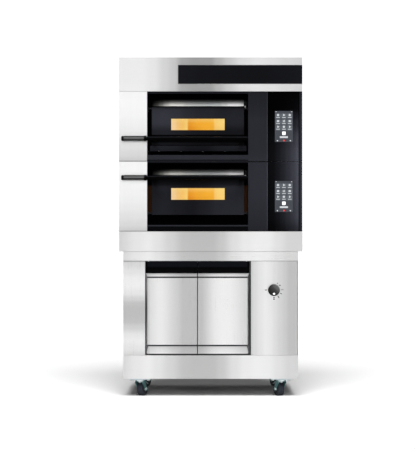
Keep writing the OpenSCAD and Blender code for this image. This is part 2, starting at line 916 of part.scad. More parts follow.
// Castor fork in its own frame, the wheel trailing along +Y
module fork() {
  wheel_z = wheel_r;
  color(bright) {
    difference() {
      union() {
        bar_z(crown_z0, crown_z1, 0, 0, 28);
        for (s = [-1, 1])
          translate([s * 21.5, 0, 0])
            union() {
              section_x(-1.5, 1.5, [
                [-20, crown_z1], [-20, crown_z0 - 4], [trail - 13, wheel_z], [trail + 13, wheel_z],
                [22, crown_z0 - 6], [20, crown_z1]
              ]);
              bar_x(-1.5, 1.5, trail, wheel_z, 13);
            }
      }
      bar_z(crown_z0 - 1, crown_z1 + 1, 0, 0, kingpin_r + run);
      bar_x(-30, 30, trail, wheel_z, axle_r);
    }
    bar_x(-26, 26, trail, wheel_z, axle_r);
    for (x = [-28, 23])
      translate([x, trail, wheel_z])
        rotate([0, 90, 0])
          difference() {
            cylinder(h = 5, r = 8, $fn = 6);
            translate([0, 0, -1])
              cylinder(h = 7, r = axle_r);
          }
  }
}

// Brake pedal of a front castor, over the wheel's trailing side
module brake_pedal() {
  color(bright)
    section_x(-14, 14, [
      [20, crown_z0 - 1], [26, crown_z0 - 1], [53, crown_z0 - 8], [74, crown_z0 - 20],
      [75, crown_z0 - 18], [54, crown_z0 - 5.5], [27, crown_z0 + 2], [20, crown_z0 + 2]
    ]);
}

// Places a castor part at a corner; side is -1 on the left and 1 on the right, row 0 is the front
module at_castor(side, row) {
  translate([side * castor_x, castor_y[row], 0])
    rotate([0, 0, side * swivel])
      children();
}

module castor_fork_front_left() {
  at_castor(-1, 0) {
    fork();
    brake_pedal();
  }
}

module castor_fork_front_right() {
  at_castor(1, 0) {
    fork();
    brake_pedal();
  }
}

module castor_fork_rear_left() {
  at_castor(-1, 1)
    fork();
}

module castor_fork_rear_right() {
  at_castor(1, 1)
    fork();
}

// Castor wheel with a rounded tread, recessed sides and a hub bore
module wheel() {
  w = wheel_w / 2;
  color(black)
    translate([0, trail, wheel_r])
      rotate([0, 90, 0])
        rotate_extrude()
          polygon([
            [axle_r + run, -w], [13, -w], [15, -w + 4], [24, -w + 4], [27, -w],
            [wheel_r - 4, -w], [wheel_r - 1.2, -w + 1.4], [wheel_r, -w + 4.5], [wheel_r, w - 4.5],
            [wheel_r - 1.2, w - 1.4], [wheel_r - 4, w],
            [27, w], [24, w - 4], [15, w - 4], [13, w], [axle_r + run, w]
          ]);
}

module castor_wheel_front_left() {
  at_castor(-1, 0)
    wheel();
}

module castor_wheel_front_right() {
  at_castor(1, 0)
    wheel();
}

module castor_wheel_rear_left() {
  at_castor(-1, 1)
    wheel();
}

module castor_wheel_rear_right() {
  at_castor(1, 1)
    wheel();
}

// Mains cable gland on the lower deck's rear: flange, hexagon and a bore for the cable
module mains_gland() {
  color(black)
    difference() {
      union() {
        bar_y(rear_y, rear_y + 4, 400, lower_z + 60, 17);
        translate([400, rear_y + 4, lower_z + 60])
          rotate([-90, 0, 0])
            cylinder(h = 12, r = 16, $fn = 6);
        bar_y(rear_y + 16, rear_y + 28, 400, lower_z + 60, 12.5);
      }
      bar_y(rear_y - 1, rear_y + 30, 400, lower_z + 60, 8);
    }
}

// Equipotential bonding stud with its washer
module bonding_stud() {
  color(bright) {
    bar_y(rear_y, rear_y + 2, 455, lower_z + 60, 9);
    bar_y(rear_y + 2, rear_y + 20, 455, lower_z + 60, 3);
  }
}

// Rear covers over the wiring space, with ventilation slots
module rear_covers() {
  color(steel)
    for (z = [lower_z, upper_z])
      difference() {
        box(-320, 140, rear_y, rear_y + 1.5, z + 70, z + 310);
        for (k = [0 : 9])
          box(-270 + 38 * k, -250 + 38 * k, rear_y - 1, rear_y + 3, z + 120, z + 260);
      }
}

// Hexagon bolts of the castor plates and dome screws of the rear covers
module fasteners() {
  h = plate_w / 2 - 12;
  color(bright) {
    for (x = [-castor_x, castor_x])
      for (y = castor_y)
        for (a = [-1, 1])
          for (b = [-1, 1])
            translate([x + a * h, y + b * h, castor_h - plate_t - 5])
              cylinder(h = 5, r = 7, $fn = 6);
    for (z = [lower_z, upper_z])
      for (x = [-310, -90, 130])
        for (dz = [78, 302])
          bar_y(rear_y + 1.5, rear_y + 3.5, x, z + dz, 4);
  }
}

lower_casing();
upper_casing();
lower_bay();
upper_bay();
lower_column();
upper_column();
control_glasses();
touchscreens();
chambers();
baking_stones();
heating_elements();
insulation();
chamber_lamps();
control_boards();
door_seals();
lower_door_panel();
upper_door_panel();
lower_door_glass();
upper_door_glass();
lower_door_back();
upper_door_back();
lower_handle_bar();
upper_handle_bar();
lower_handle_grip();
upper_handle_grip();
door_visors();
upper_sill();
hinge_pins();
hood_shell();
hood_fascia();
grease_filter();
exhaust_spigot();
support_frame();
prover_shell();
prover_liner();
prover_front();
prover_column();
prover_plinth();
tray_runners();
humidifier_pan();
prover_heater();
thermostat();
thermostat_knob();
prover_door_left();
prover_rail_left();
prover_door_right();
prover_rail_right();
castor_plates();
castor_fork_front_left();
castor_fork_front_right();
castor_fork_rear_left();
castor_fork_rear_right();
castor_wheel_front_left();
castor_wheel_front_right();
castor_wheel_rear_left();
castor_wheel_rear_right();
mains_gland();
bonding_stud();
rear_covers();
fasteners();
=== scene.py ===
import json
import math

import bmesh
import bpy
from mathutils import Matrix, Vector


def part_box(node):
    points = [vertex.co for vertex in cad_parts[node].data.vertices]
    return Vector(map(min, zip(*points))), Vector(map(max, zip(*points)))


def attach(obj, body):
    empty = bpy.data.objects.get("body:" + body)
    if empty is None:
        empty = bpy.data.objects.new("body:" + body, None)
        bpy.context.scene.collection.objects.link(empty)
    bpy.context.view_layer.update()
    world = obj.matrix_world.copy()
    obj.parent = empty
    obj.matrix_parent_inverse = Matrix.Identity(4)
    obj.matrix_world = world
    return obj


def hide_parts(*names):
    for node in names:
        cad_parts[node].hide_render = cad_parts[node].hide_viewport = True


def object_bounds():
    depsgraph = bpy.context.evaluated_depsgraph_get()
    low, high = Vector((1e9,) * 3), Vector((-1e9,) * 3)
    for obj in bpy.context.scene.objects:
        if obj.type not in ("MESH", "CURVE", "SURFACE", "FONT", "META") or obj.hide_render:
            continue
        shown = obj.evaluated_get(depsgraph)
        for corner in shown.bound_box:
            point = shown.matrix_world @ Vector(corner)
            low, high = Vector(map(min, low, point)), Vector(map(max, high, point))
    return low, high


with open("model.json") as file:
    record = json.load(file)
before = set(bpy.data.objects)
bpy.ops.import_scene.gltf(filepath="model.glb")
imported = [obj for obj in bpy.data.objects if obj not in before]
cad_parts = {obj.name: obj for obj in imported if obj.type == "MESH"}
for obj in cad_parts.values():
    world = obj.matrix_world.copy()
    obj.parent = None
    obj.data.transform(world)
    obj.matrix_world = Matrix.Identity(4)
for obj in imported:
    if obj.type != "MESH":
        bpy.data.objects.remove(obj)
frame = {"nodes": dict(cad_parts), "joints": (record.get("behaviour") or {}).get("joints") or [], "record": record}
CAD_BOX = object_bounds()
RECORD = frame["record"]
NODES = frame["nodes"]
BODY_OF = {n: b for b, members in RECORD["behaviour"]["bodies"].items() for n in members}
DECKS = ("lower", "upper")


# --- node material helpers

class Nodes:
    """Short calls for the nodes of one tree."""

    def __init__(self, tree):
        self.tree = tree
        self.coords = tree.nodes.new("ShaderNodeTexCoord").outputs["Object"]

    def put(self, socket, value):
        if isinstance(value, bpy.types.NodeSocket):
            self.tree.links.new(value, socket)
        else:
            socket.default_value = value

    def node(self, kind, **inputs):
        n = self.tree.nodes.new(kind)
        for key, value in inputs.items():
            self.put(n.inputs[key.replace("_", " ")], value)
        return n

    def math(self, operation, a, b=0.5):
        n = self.tree.nodes.new("ShaderNodeMath")
        n.operation = operation
        self.put(n.inputs[0], a)
        self.put(n.inputs[1], b)
        return n.outputs[0]

    def total(self, a, b):
        return self.math("ADD", a, b)

    def product(self, a, b):
        return self.math("MULTIPLY", a, b)

    def either(self, a, b):
        return self.math("MAXIMUM", a, b)

    def below(self, a, b):
        return self.math("LESS_THAN", a, b)

    def above(self, a, b):
        return self.math("GREATER_THAN", a, b)

    def within(self, value, low, high):
        """One between two values, nought outside."""
        return self.product(self.above(value, low), self.below(value, high))

    def span(self, value, low, high, to_low, to_high):
        return self.node("ShaderNodeMapRange", Value=value, From_Min=low, From_Max=high,
                         To_Min=to_low, To_Max=to_high).outputs[0]

    def vary(self, noise, low, high, half=0.2):
        """A noise stretched from its middle values to the range low to high."""
        return self.span(noise, 0.5 - half, 0.5 + half, low, high)

    def mix(self, fac, a, b, how="MIX"):
        n = self.tree.nodes.new("ShaderNodeMix")
        n.data_type = "RGBA"
        n.blend_type = how
        self.put(n.inputs["Factor"], fac)
        for key, value in (("A", a), ("B", b)):
            self.put(n.inputs[key], value if isinstance(value, bpy.types.NodeSocket) else (*value, 1))
        return n.outputs["Result"]

    def times(self, a, b):
        """Two colours multiplied."""
        return self.mix(1.0, a, b, "MULTIPLY")

    def blend(self, fac, a, b):
        """A mix of two numbers."""
        n = self.tree.nodes.new("ShaderNodeMix")
        n.data_type = "FLOAT"
        for key, value in (("Factor", fac), ("A", a), ("B", b)):
            self.put(n.inputs[key], value)
        return n.outputs["Result"]

    def ramp(self, value, stops, smooth=True):
        n = self.node("ShaderNodeValToRGB", Fac=value)
        n.color_ramp.interpolation = "EASE" if smooth else "LINEAR"
        elements = n.color_ramp.elements
        while len(elements) < len(stops):
            elements.new(0.5)
        for e, (at, colour) in zip(elements, stops):
            e.position = at
            e.color = (*colour, 1)
        return n.outputs["Color"]

    def grey_ramp(self, value, stops, smooth=True):
        return self.ramp(value, [(at, (g, g, g)) for at, g in stops], smooth)


class Shader(Nodes):
    """A Principled material with procedural detail in the part's own metres."""

    def __init__(self, name):
        self.mat = bpy.data.materials.new(name)
        self.mat.use_nodes = True
        super().__init__(self.mat.node_tree)
        self.bsdf = self.tree.nodes["Principled BSDF"]

    def set(self, **values):
        for key, value in values.items():
            self.put(self.bsdf.inputs[key.replace("_", " ")], value)

    def noise(self, scale, size=1.0, detail=3.0, rough=0.5):
        place = self.node("ShaderNodeMapping", Vector=self.coords, Scale=scale).outputs["Vector"]
        return self.node("ShaderNodeTexNoise", Vector=place, Scale=size, Detail=detail,
                         Roughness=rough).outputs["Fac"]

    def speckle(self, size, detail, rough):
        """Noise that is alike in every direction."""
        return self.noise((1, 1, 1), size, detail, rough)

    def brushed(self, scale):
        """Fine scratches that run along the axis with the smallest scale."""
        return self.noise(scale, 1.0, 4.0, 0.65)

    def cells(self, size, randomness=1.0):
        return self.node("ShaderNodeTexVoronoi", Vector=self.coords, Scale=size,
                         Randomness=randomness).outputs["Distance"]

    def raw(self, name):
        """Place along one row axis, in metres."""
        return self.node("ShaderNodeSeparateXYZ", Vector=self.coords).outputs[name]

    def axis(self, name, low, high):
        """Place along one row axis, as nought at low and one at high."""
        return self.span(self.raw(name), low, high, 0.0, 1.0)

    def toward(self, name):
        """The signed part of the surface's normal along one row axis of its own part."""
        return self.node("ShaderNodeSeparateXYZ", Vector=self.coords.node.outputs["Normal"]).outputs[name]

    def facing(self, name):
        """How far the surface faces along one row axis, whichever way round."""
        return self.math("ABSOLUTE", self.toward(name), 0)

    def edge(self, radius=0.0015):
        """Bright where the surface bends sharply, from the difference a rounded normal makes."""
        bevel = self.node("ShaderNodeBevel", Radius=radius)
        bevel.samples = 4
        dot = self.tree.nodes.new("ShaderNodeVectorMath")
        dot.operation = "DOT_PRODUCT"
        self.put(dot.inputs[0], self.tree.nodes.new("ShaderNodeNewGeometry").outputs["Normal"])
        self.put(dot.inputs[1], bevel.outputs["Normal"])
        return self.span(dot.outputs["Value"], 0.98, 0.75, 0.0, 1.0)

    def bump(self, height, strength=0.2, distance=0.001):
        n = self.node("ShaderNodeBump", Height=height, Strength=strength, Distance=distance)
        self.put(self.bsdf.inputs["Normal"], n.outputs["Normal"])


def lin(level):
    """A display level from 0 to 255 as a linear value."""
    v = level / 255
    return v / 12.92 if v <= 0.04045 else ((v + 0.055) / 1.055) ** 2.4


def tint(r, g, b):
    """A display colour as linear values."""
    return (lin(r), lin(g), lin(b))


def coat_tint(r, g, b):
    """A painted colour as it has to be to look like the given display colour in this light."""
    return tuple(COAT_GAIN * c for c in tint(r, g, b))


def levels(stops, gain=1.0):
    """Ramp stops given as (place, display level)."""
    return [(at, gain * lin(level)) for at, level in stops]


# --- tones along the sheets

# Noise scales that lay fine scratches along a sheet's rolling direction
GRAIN = {"X": (5, 340, 800), "Z": (800, 340, 5)}

# Painted reflection bands: soft light and dark zones laid into the sheet's colour, from the left edge to the right
# edge of a full-width part; likewise across the hood, up the stiles, across the prover column and up each deck's
# casing
PAINTED_REFLECTION_X = [(0, 212), (0.1, 229), (0.16, 234), (0.21, 226), (0.28, 211), (0.36, 192), (0.41, 189), (0.51, 189),
          (0.56, 199), (0.63, 222), (0.69, 233), (0.76, 237), (0.81, 235), (0.87, 224), (0.93, 212),
          (1, 211)]
HOOD_X = [(0, 237), (0.12, 237), (0.19, 230), (0.25, 213), (0.3, 200), (0.345, 168), (0.42, 160), (0.5, 160),
          (0.54, 180), (0.6, 203), (0.67, 222), (0.75, 229), (0.83, 225), (0.92, 217), (1, 212)]
STILE_Z = [(0, 212), (0.07, 226), (0.16, 233), (0.21, 228), (0.3, 206), (0.36, 192), (0.42, 189), (0.5, 189),
           (0.55, 194), (0.6, 210), (0.66, 228), (0.74, 237), (0.81, 236), (0.89, 225), (0.96, 214),
           (1, 210)]
COLUMN_X = [(0, 205), (0.08, 217), (0.2, 227), (0.32, 233), (0.42, 230), (0.52, 220), (0.64, 210),
            (0.74, 202), (0.84, 191), (0.95, 190), (1, 196)]
PANEL_Z = [(0, 130), (0.006, 150), (0.014, 205), (0.1, 217), (0.22, 226), (0.34, 233), (0.45, 238),
           (0.56, 242), (0.68, 246), (0.85, 248), (1, 246)]
SHEET_GAIN = 0.98
# PLAIN: painted reflection bands for faces that don't look forward, and for the bright and cover steel
PLAIN = [(0, 186), (0.12, 200), (0.3, 210), (0.45, 200), (0.6, 190), (0.75, 204), (0.9, 198), (1, 184)]
# Painted reflection bands across the prover's two door leaves, by place in metres
LEAF_X = [(-0.3515, 150), (-0.343, 192), (-0.327, 219), (-0.305, 226), (-0.284, 232), (-0.262, 232),
          (-0.241, 226), (-0.219, 217), (-0.198, 210), (-0.176, 203), (-0.154, 192), (-0.132, 190),
          (-0.068, 189), (-0.046, 192), (-0.025, 204), (-0.003, 218), (0.018, 229), (0.040, 234),
          (0.062, 237), (0.083, 237), (0.105, 236), (0.126, 232), (0.148, 226), (0.170, 218), (0.191, 212),
          (0.204, 190), (0.215, 150)]
# Across and up the visors: painted shade at the left end and toward the top, painted light elsewhere; across and
# up the gloss black control glass: painted sheen
VISOR_X = [(0, (10, 10, 10)), (0.05, (42, 42, 41)), (0.1, (88, 88, 85)), (0.15, (137, 136, 132)),
           (0.21, (176, 175, 170)), (0.3, (174, 173, 169)), (0.38, (152, 153, 151)), (0.48, (142, 144, 143)),
           (0.62, (138, 141, 141)), (0.72, (142, 145, 145)), (0.79, (160, 160, 160)),
           (0.86, (184, 183, 184)), (0.93, (180, 179, 180)), (1, (156, 156, 157))]
VISOR_RISE = [(0, 0.95), (0.2, 0.9), (0.42, 0.62), (0.6, 0.32), (0.75, 0.12), (0.88, 0.02), (1, 0.004)]
GLASS_X = [(0, 12), (0.17, 15), (0.33, 27), (0.48, 39), (0.64, 54), (0.8, 68), (0.95, 84), (0.966, 84),
           (0.974, 20), (1, 20)]
GLASS_RISE = [(0, 0.35), (0.12, 0.8), (0.25, 0.88), (0.45, 0.95), (0.55, 1), (0.66, 0.75), (0.77, 0.3),
              (0.83, 0.14), (0.88, 0.03), (1, 0.01)]
# Across and up the charcoal parts, painted sheen and shade: DOOR_RISE holds the handle bar's painted shadow,
# BAY_RISE the painted highlights and shade of each bay's front frame
COLUMN_Z = [(0, 38), (0.04, 42), (0.12, 46), (0.26, 51), (0.4950, 50), (0.4960, 5), (0.5015, 5),
            (0.5025, 50), (0.58, 46), (0.8, 46), (0.84, 42), (0.97, 36), (1, 34)]
DOOR_ACROSS = {"upper": [(0, 48), (0.04, 50), (0.14, 51), (0.27, 48), (0.4, 41), (0.52, 36), (0.65, 35),
                         (0.78, 31), (0.91, 34), (1, 34)],
               "lower": [(0, 28), (0.14, 30), (0.27, 25), (0.43, 21), (0.58, 27), (0.72, 35), (0.86, 36),
                         (1, 38)]}
DOOR_RISE = {"upper": [(0, 0.2), (0.065, 0.2), (0.075, 0.02), (0.265, 0.02), (0.285, 0.38), (0.35, 0.38),
                       (0.6, 0.88), (1, 0.85)],
             "lower": [(0, 1), (0.66, 1), (0.72, 0.85), (0.8, 0.35), (0.9, 0.15), (1, 0.1)]}
BAY_RISE = {"upper": [(0, 37), (0.010, 38), (0.013, 16), (0.023, 16), (0.027, 50), (0.09, 53), (0.094, 3),
                      (0.962, 3), (0.968, 39), (0.985, 39), (0.99, 1)],
            "lower": [(0, 12), (0.07, 12), (0.074, 52), (0.092, 52), (0.096, 3), (0.982, 3), (0.986, 36),
                      (1, 36)]}
FASCIA_X = [(0, 27), (0.2, 23), (0.6, 20), (0.85, 22), (1, 26)]
# Painted highlight line and painted shade up the grip
GRIP_RISE = [(0, 0.028), (0.17, 0.03), (0.26, 0.008), (0.4, 0.008), (0.5, 0.036), (0.7, 0.038), (0.8, 0.006),
             (1, 0.005)]
# Painted light across the knob, lighter toward its upper right
KNOB_SLANT = [(0, 18), (0.3, 28), (0.55, 42), (0.8, 70), (1, 98)]
SILL_X = [(0, 44), (0.2, 38), (0.42, 27), (0.55, 25), (0.75, 34), (1, 37)]


def steel(name, along, span, stops, grain="X", rough=0.3):
    """Satin brushed stainless steel: fine scratches along the grain, bright edges, and painted light: painted
    reflection bands on faces that look forward, a painted flank tone on the others.
    """
    s = Shader(name)
    scratches = s.brushed(GRAIN[grain])
    streaks = s.noise({"X": (0.9, 24, 50), "Z": (50, 24, 0.9)}[grain], 1.0, 3.0, 0.5)
    clouds = s.speckle(5.0, 2.0, 0.45)
    # Painted light: reflection bands on faces that look forward, a flank tone on the rest, picked by the way each
    # face looks
    front = s.grey_ramp(s.axis(along, *span), levels(stops))
    slant = s.total(s.axis("Y", -0.43, 0.44), s.product(s.raw("X"), 0.8))
    flank = s.grey_ramp(s.math("PINGPONG", slant, 1.0), levels(PLAIN))
    tone = s.mix(s.span(s.toward("Y"), -0.35, -0.75, 0.0, 1.0), flank, front)
    shade = s.total(s.vary(scratches, -0.016, 0.016, 0.25), s.vary(streaks, 0.994, 1.006, 0.25))
    shade = s.total(shade, s.vary(clouds, -0.006, 0.006))
    grey = s.times(tone, s.product(shade, SHEET_GAIN))
    s.set(Base_Color=s.mix(s.product(s.edge(0.0012), 0.3), grey, (0.62, 0.62, 0.63)), Metallic=1.0)
    s.set(Roughness=s.total(s.vary(scratches, rough - 0.03, rough + 0.03, 0.3), s.vary(clouds, -0.01, 0.01)))
    s.bump(scratches, 0.06, 0.0003)
    return s.mat


def coated(name, paint, rough=0.5, specular=0.2, edge_gain=0.35, edge_colour=(0.12, 0.12, 0.13)):
    """Powder-coated sheet: fine orange peel, faint wiped streaks, slightly polished edges.
    paint is a colour, or a function that makes one from the shader."""
    s = Shader(name)
    peel = s.speckle(900.0, 2.0, 0.5)
    wipe = s.noise((9, 9, 2.5), 1.0, 3.0, 0.55)
    shaded = s.times(paint(s) if callable(paint) else paint, s.vary(wipe, 0.93, 1.07))
    s.set(Base_Color=s.mix(s.product(s.edge(0.001), edge_gain), shaded, edge_colour),
          Specular_IOR_Level=specular,
          Roughness=s.total(s.vary(wipe, rough - 0.05, rough + 0.06), s.vary(peel, -0.02, 0.02)))
    s.bump(peel, 0.12, 0.0003)
    return s.mat


def blue_black(s, value):
    """A slightly blue charcoal from a grey socket."""
    return s.times(value, (0.93, 0.97, 1.25))


def door_tone(deck):
    """Charcoal tone of one oven door with painted light: painted sheen in stops across it, times stops up it that
    paint shade and the handle bar's shadow.
    """
    def tone(s):
        low, high = DOOR[deck]
        across = s.grey_ramp(s.axis("X", low.x, high.x), levels(DOOR_ACROSS[deck], DOOR_GAIN))
        return blue_black(s, s.times(across, s.grey_ramp(s.axis("Z", low.z, high.z), DOOR_RISE[deck])))
    return tone


def across_tone(node, stops):
    """Charcoal tone with painted sheen that changes along the width of a part."""
    def tone(s):
        low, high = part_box(node)
        return blue_black(s, s.grey_ramp(s.axis("X", low.x, high.x), levels(stops, COAT_GAIN)))
    return tone


def zinc(name, base=(0.55, 0.57, 0.6), cool=(0.36, 0.52, 0.55)):
    """Zinc plating: bluish passivated patches, spangle, small scuffs."""
    s = Shader(name)
    patches = s.speckle(45.0, 3.0, 0.6)
    scuffs = s.speckle(420.0, 3.0, 0.6)
    colour = s.mix(s.span(patches, 0.35, 0.7, 0.0, 0.75), base, cool)
    colour = s.mix(s.product(s.edge(0.0008), 0.6), colour, (0.85, 0.86, 0.87))
    s.set(Base_Color=colour, Metallic=1.0, Roughness=s.vary(scuffs, 0.2, 0.42, 0.3))
    s.bump(scuffs, 0.15, 0.0003)
    return s.mat


def plastic(name, base, rough=0.4, specular=0.4, grain=700.0, grain_strength=0.15):
    """Moulded plastic or rubber with a fine spark-eroded grain and worn edges."""
    s = Shader(name)
    fine = s.speckle(grain, 2.0, 0.5)
    broad = s.speckle(30.0, 3.0, 0.5)
    colour = s.mix(s.vary(broad, 0.0, 0.5), base, tuple(1.35 * c for c in base))
    colour = s.mix(s.product(s.edge(0.0008), 0.4), colour, tuple(min(1, c * 3 + 0.03) for c in base))
    s.set(Base_Color=colour, Roughness=s.vary(broad, rough - 0.06, rough + 0.08), Specular_IOR_Level=specular)
    s.bump(fine, grain_strength, 0.0003)
    return s.mat


def control_glass():
    """Gloss black glass with a painted sheen, growing to the right and strongest between the two screens."""
    s = Shader("control_glass")
    low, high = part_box("control_glasses")
    across = s.grey_ramp(s.axis("X", low.x, high.x), levels(GLASS_X, COAT_GAIN))
    up = s.grey_ramp(s.axis("Z", low.z, high.z), GLASS_RISE)
    smears = s.noise((6, 6, 2), 1.0, 4.0, 0.6)
    s.set(Base_Color=blue_black(s, s.times(across, up)), Specular_IOR_Level=0.01,
          Roughness=s.span(smears, 0.35, 0.75, 0.06, 0.16))
    s.bump(smears, 0.02, 0.0004)
    return s.mat


def clear_glass():
    """Thin clear pane, faintly smudged."""
    s = Shader("door_pane")
    smears = s.noise((8, 8, 3), 1.0, 4.0, 0.6)
    s.set(Base_Color=(1, 0.97, 0.92, 1), Roughness=s.span(smears, 0.35, 0.75, 0.01, 0.06),
          Transmission_Weight=1.0, IOR=1.05)
    s.bump(smears, 0.02, 0.0003)
    return s.mat


# Pools of lamp light painted as glow on the chamber walls, by place across the chamber in metres
GLOW_X = [(-0.300, (214, 196, 158)), (-0.240, (240, 216, 176)), (-0.206, (241, 212, 164)),
          (-0.190, (240, 201, 134)), (-0.160, (243, 199, 112)), (-0.134, (245, 212, 126)),
          (-0.126, (228, 152, 38)), (-0.080, (240, 172, 50)), (-0.010, (242, 178, 52)),
          (0.016, (242, 180, 56)), (0.026, (247, 208, 122)), (0.060, (251, 220, 132)),
          (0.094, (250, 214, 128)), (0.160, (226, 178, 96))]


# Height in each chamber that shows behind the middle of its window
GLOW_MIDDLE = {"lower": 0.2135, "upper": 0.2346}


def lit_chamber(low, high):
    """Chamber sheet under its lamp: warm pools of lamp light painted on it as glow, over heat-tinted steel with
    fine scratches.
    """
    s = Shader("lit_chamber")
    stops = [((x - low.x) / (high.x - low.x), tint(*colour)) for x, colour in GLOW_X]
    zones = s.ramp(s.axis("X", low.x, high.x), stops, smooth=False)
    heat = s.noise((5, 1, 9), 2.2, 3.0, 0.5)
    scratches = s.noise((3, 40, 200), 1.0, 4.0, 0.6)
    is_upper = s.above(s.raw("Z"), UPPER_Z)
    middle = s.span(is_upper, 0.0, 1.0, LOWER_Z + GLOW_MIDDLE["lower"], UPPER_Z + GLOW_MIDDLE["upper"])
    rise = s.math("SUBTRACT", s.raw("Z"), middle)
    # Painted highlight: a paler band above the window's middle
    zones = s.mix(s.span(rise, 0.006, 0.028, 0.0, 0.42), zones, tint(248, 224, 142))
    # Painted deeper orange glow below the window's middle, from x -0.13 fading to the right
    pool = s.product(s.span(s.raw("X"), -0.13, -0.04, 1.0, 0.2), s.above(s.raw("X"), -0.13))
    zones = s.mix(s.product(pool, s.span(rise, 0.004, -0.026, 0.0, 0.6)), zones, tint(212, 128, 22))
    lit = s.times(zones, s.vary(heat, 0.95, 1.04))
    s.set(Base_Color=s.mix(s.vary(scratches, 0.0, 0.5), (0.06, 0.04, 0.02), (0.10, 0.06, 0.03)),
          Roughness=s.vary(scratches, 0.5, 0.7, 0.3), Emission_Color=lit, Emission_Strength=0.92)
    s.bump(scratches, 0.15, 0.0004)
    return s.mat


def lamp_material(name, colour, strength):
    s = Shader(name)
    ribs = s.speckle(180.0, 2.0, 0.5)
    s.set(Base_Color=(*colour, 1), Emission_Color=s.mix(s.vary(ribs, 0.0, 0.3), colour, (1, 0.9, 0.7)),
          Roughness=s.vary(ribs, 0.15, 0.3), Emission_Strength=strength)
    return s.mat


def display(name, colour, strength):
    """A lit part of the touchscreen: faint pixel mottling under gloss."""
    s = Shader(name)
    mottle = s.speckle(260.0, 1.0, 0.5)
    lit = s.mix(s.vary(mottle, 0.0, 0.12), colour, tuple(c * 0.8 for c in colour))
    s.set(Base_Color=s.times(lit, (0.15, 0.15, 0.15)), Emission_Color=lit,
          Roughness=s.vary(mottle, 0.12, 0.2), Emission_Strength=strength, Specular_IOR_Level=0.02)
    return s.mat


def refractory():
    s = Shader("refractory")
    grit = s.speckle(260.0, 4.0, 0.7)
    scorch = s.speckle(7.0, 3.0, 0.55)
    pits = s.cells(340.0)
    colour = s.mix(s.span(scorch, 0.35, 0.7, 0.0, 0.8), (0.60, 0.50, 0.37), (0.30, 0.21, 0.13))
    colour = s.mix(s.vary(grit, 0.0, 0.4), colour, (0.75, 0.67, 0.52))
    s.set(Base_Color=colour, Roughness=s.vary(grit, 0.8, 0.95, 0.3))
    s.bump(s.total(s.product(pits, 0.5), grit), 0.5, 0.0008)
    return s.mat


def heat_tinted():
    """Chamber steel, straw to bronze where it gets hot."""
    s = Shader("chamber_steel")
    tinting = s.speckle(4.0, 3.0, 0.55)
    scratches = s.noise((3, 40, 200), 1.0, 4.0, 0.6)
    colour = s.ramp(tinting, [(0.25, (0.46, 0.43, 0.38)), (0.5, (0.44, 0.36, 0.25)),
                              (0.75, (0.30, 0.24, 0.20))])
    colour = s.times(colour, s.vary(scratches, 0.9, 1.1))
    s.set(Base_Color=colour, Metallic=1.0, Roughness=s.vary(scratches, 0.35, 0.55, 0.3))
    s.bump(scratches, 0.15, 0.0004)
    return s.mat


def oxidised():
    s = Shader("element")
    scale = s.speckle(90.0, 4.0, 0.65)
    colour = s.mix(s.vary(scale, 0.0, 1.0), (0.09, 0.08, 0.075), (0.24, 0.19, 0.16))
    s.set(Base_Color=colour, Metallic=0.7, Roughness=s.vary(scale, 0.5, 0.8, 0.3))
    s.bump(scale, 0.3, 0.0004)
    return s.mat


def braid():
    s = Shader("seal_braid")
    w = s.node("ShaderNodeTexWave", Vector=s.coords, Scale=260.0, Distortion=1.5)
    w.wave_type = "BANDS"
    w.bands_direction = "DIAGONAL"
    fuzz = s.speckle(700.0, 3.0, 0.6)
    colour = s.mix(w.outputs["Fac"], (0.03, 0.03, 0.032), (0.10, 0.10, 0.105))
    s.set(Base_Color=colour, Roughness=s.vary(fuzz, 0.8, 0.95))
    s.bump(s.total(w.outputs["Fac"], s.product(fuzz, 0.4)), 0.6, 0.0008)
    return s.mat


def mineral_wool():
    s = Shader("mineral_wool")
    fibres = s.noise((60, 8, 300), 1.0, 5.0, 0.7)
    colour = s.mix(s.vary(fibres, 0.0, 1.0), (0.42, 0.36, 0.18), (0.70, 0.63, 0.40))
    s.set(Base_Color=colour, Roughness=s.vary(fibres, 0.9, 1.0, 0.3))
    s.bump(fibres, 0.8, 0.002)
    return s.mat


def circuit():
    s = Shader("circuit_board")
    tracks = s.cells(420.0, 0.2)
    colour = s.mix(s.span(tracks, 0.35, 0.5, 0.0, 1.0), (0.02, 0.16, 0.07), (0.05, 0.27, 0.12))
    s.set(Base_Color=colour, Roughness=s.span(tracks, 0.0, 0.6, 0.3, 0.5))
    s.bump(tracks, 0.2, 0.0003)
    return s.mat


def paint_mark(name, colour):
    s = Shader(name)
    ink = s.speckle(500.0, 3.0, 0.6)
    s.set(Base_Color=s.mix(s.span(ink, 0.35, 0.75, 0.0, 0.35), colour,
                           tuple(min(1, c * 1.5 + 0.02) for c in colour)),
          Roughness=s.vary(ink, 0.45, 0.6))
    s.bump(ink, 0.1, 0.0002)
    return s.mat


# --- mesh helpers

def piece(name, bm, body, material, stands_for=(), crease=35.0):
    """A finished mesh object that rides on a body."""
    bmesh.ops.remove_doubles(bm, verts=bm.verts, dist=1e-6)
    bmesh.ops.recalc_face_normals(bm, faces=bm.faces)
    mesh = bpy.data.meshes.new(name)
    bm.to_mesh(mesh)
    bm.free()
    for p in mesh.polygons:
        p.use_smooth = True
    mesh.set_sharp_from_angle(angle=math.radians(crease))
    mesh.materials.append(material)
    obj = bpy.data.objects.new(name, mesh)
    bpy.context.scene.collection.objects.link(obj)
    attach(obj, body)
    if stands_for:
        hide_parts(*stands_for)
    return obj


def frame_of(axis):
    """Two directions across an axis, and the axis itself."""
    w = Vector(axis).normalized()
    u = Vector((0, 0, 1)) if abs(w.z) < 0.9 else Vector((1, 0, 0))
    u = (u - w * u.dot(w)).normalized()
    return u, w.cross(u), w


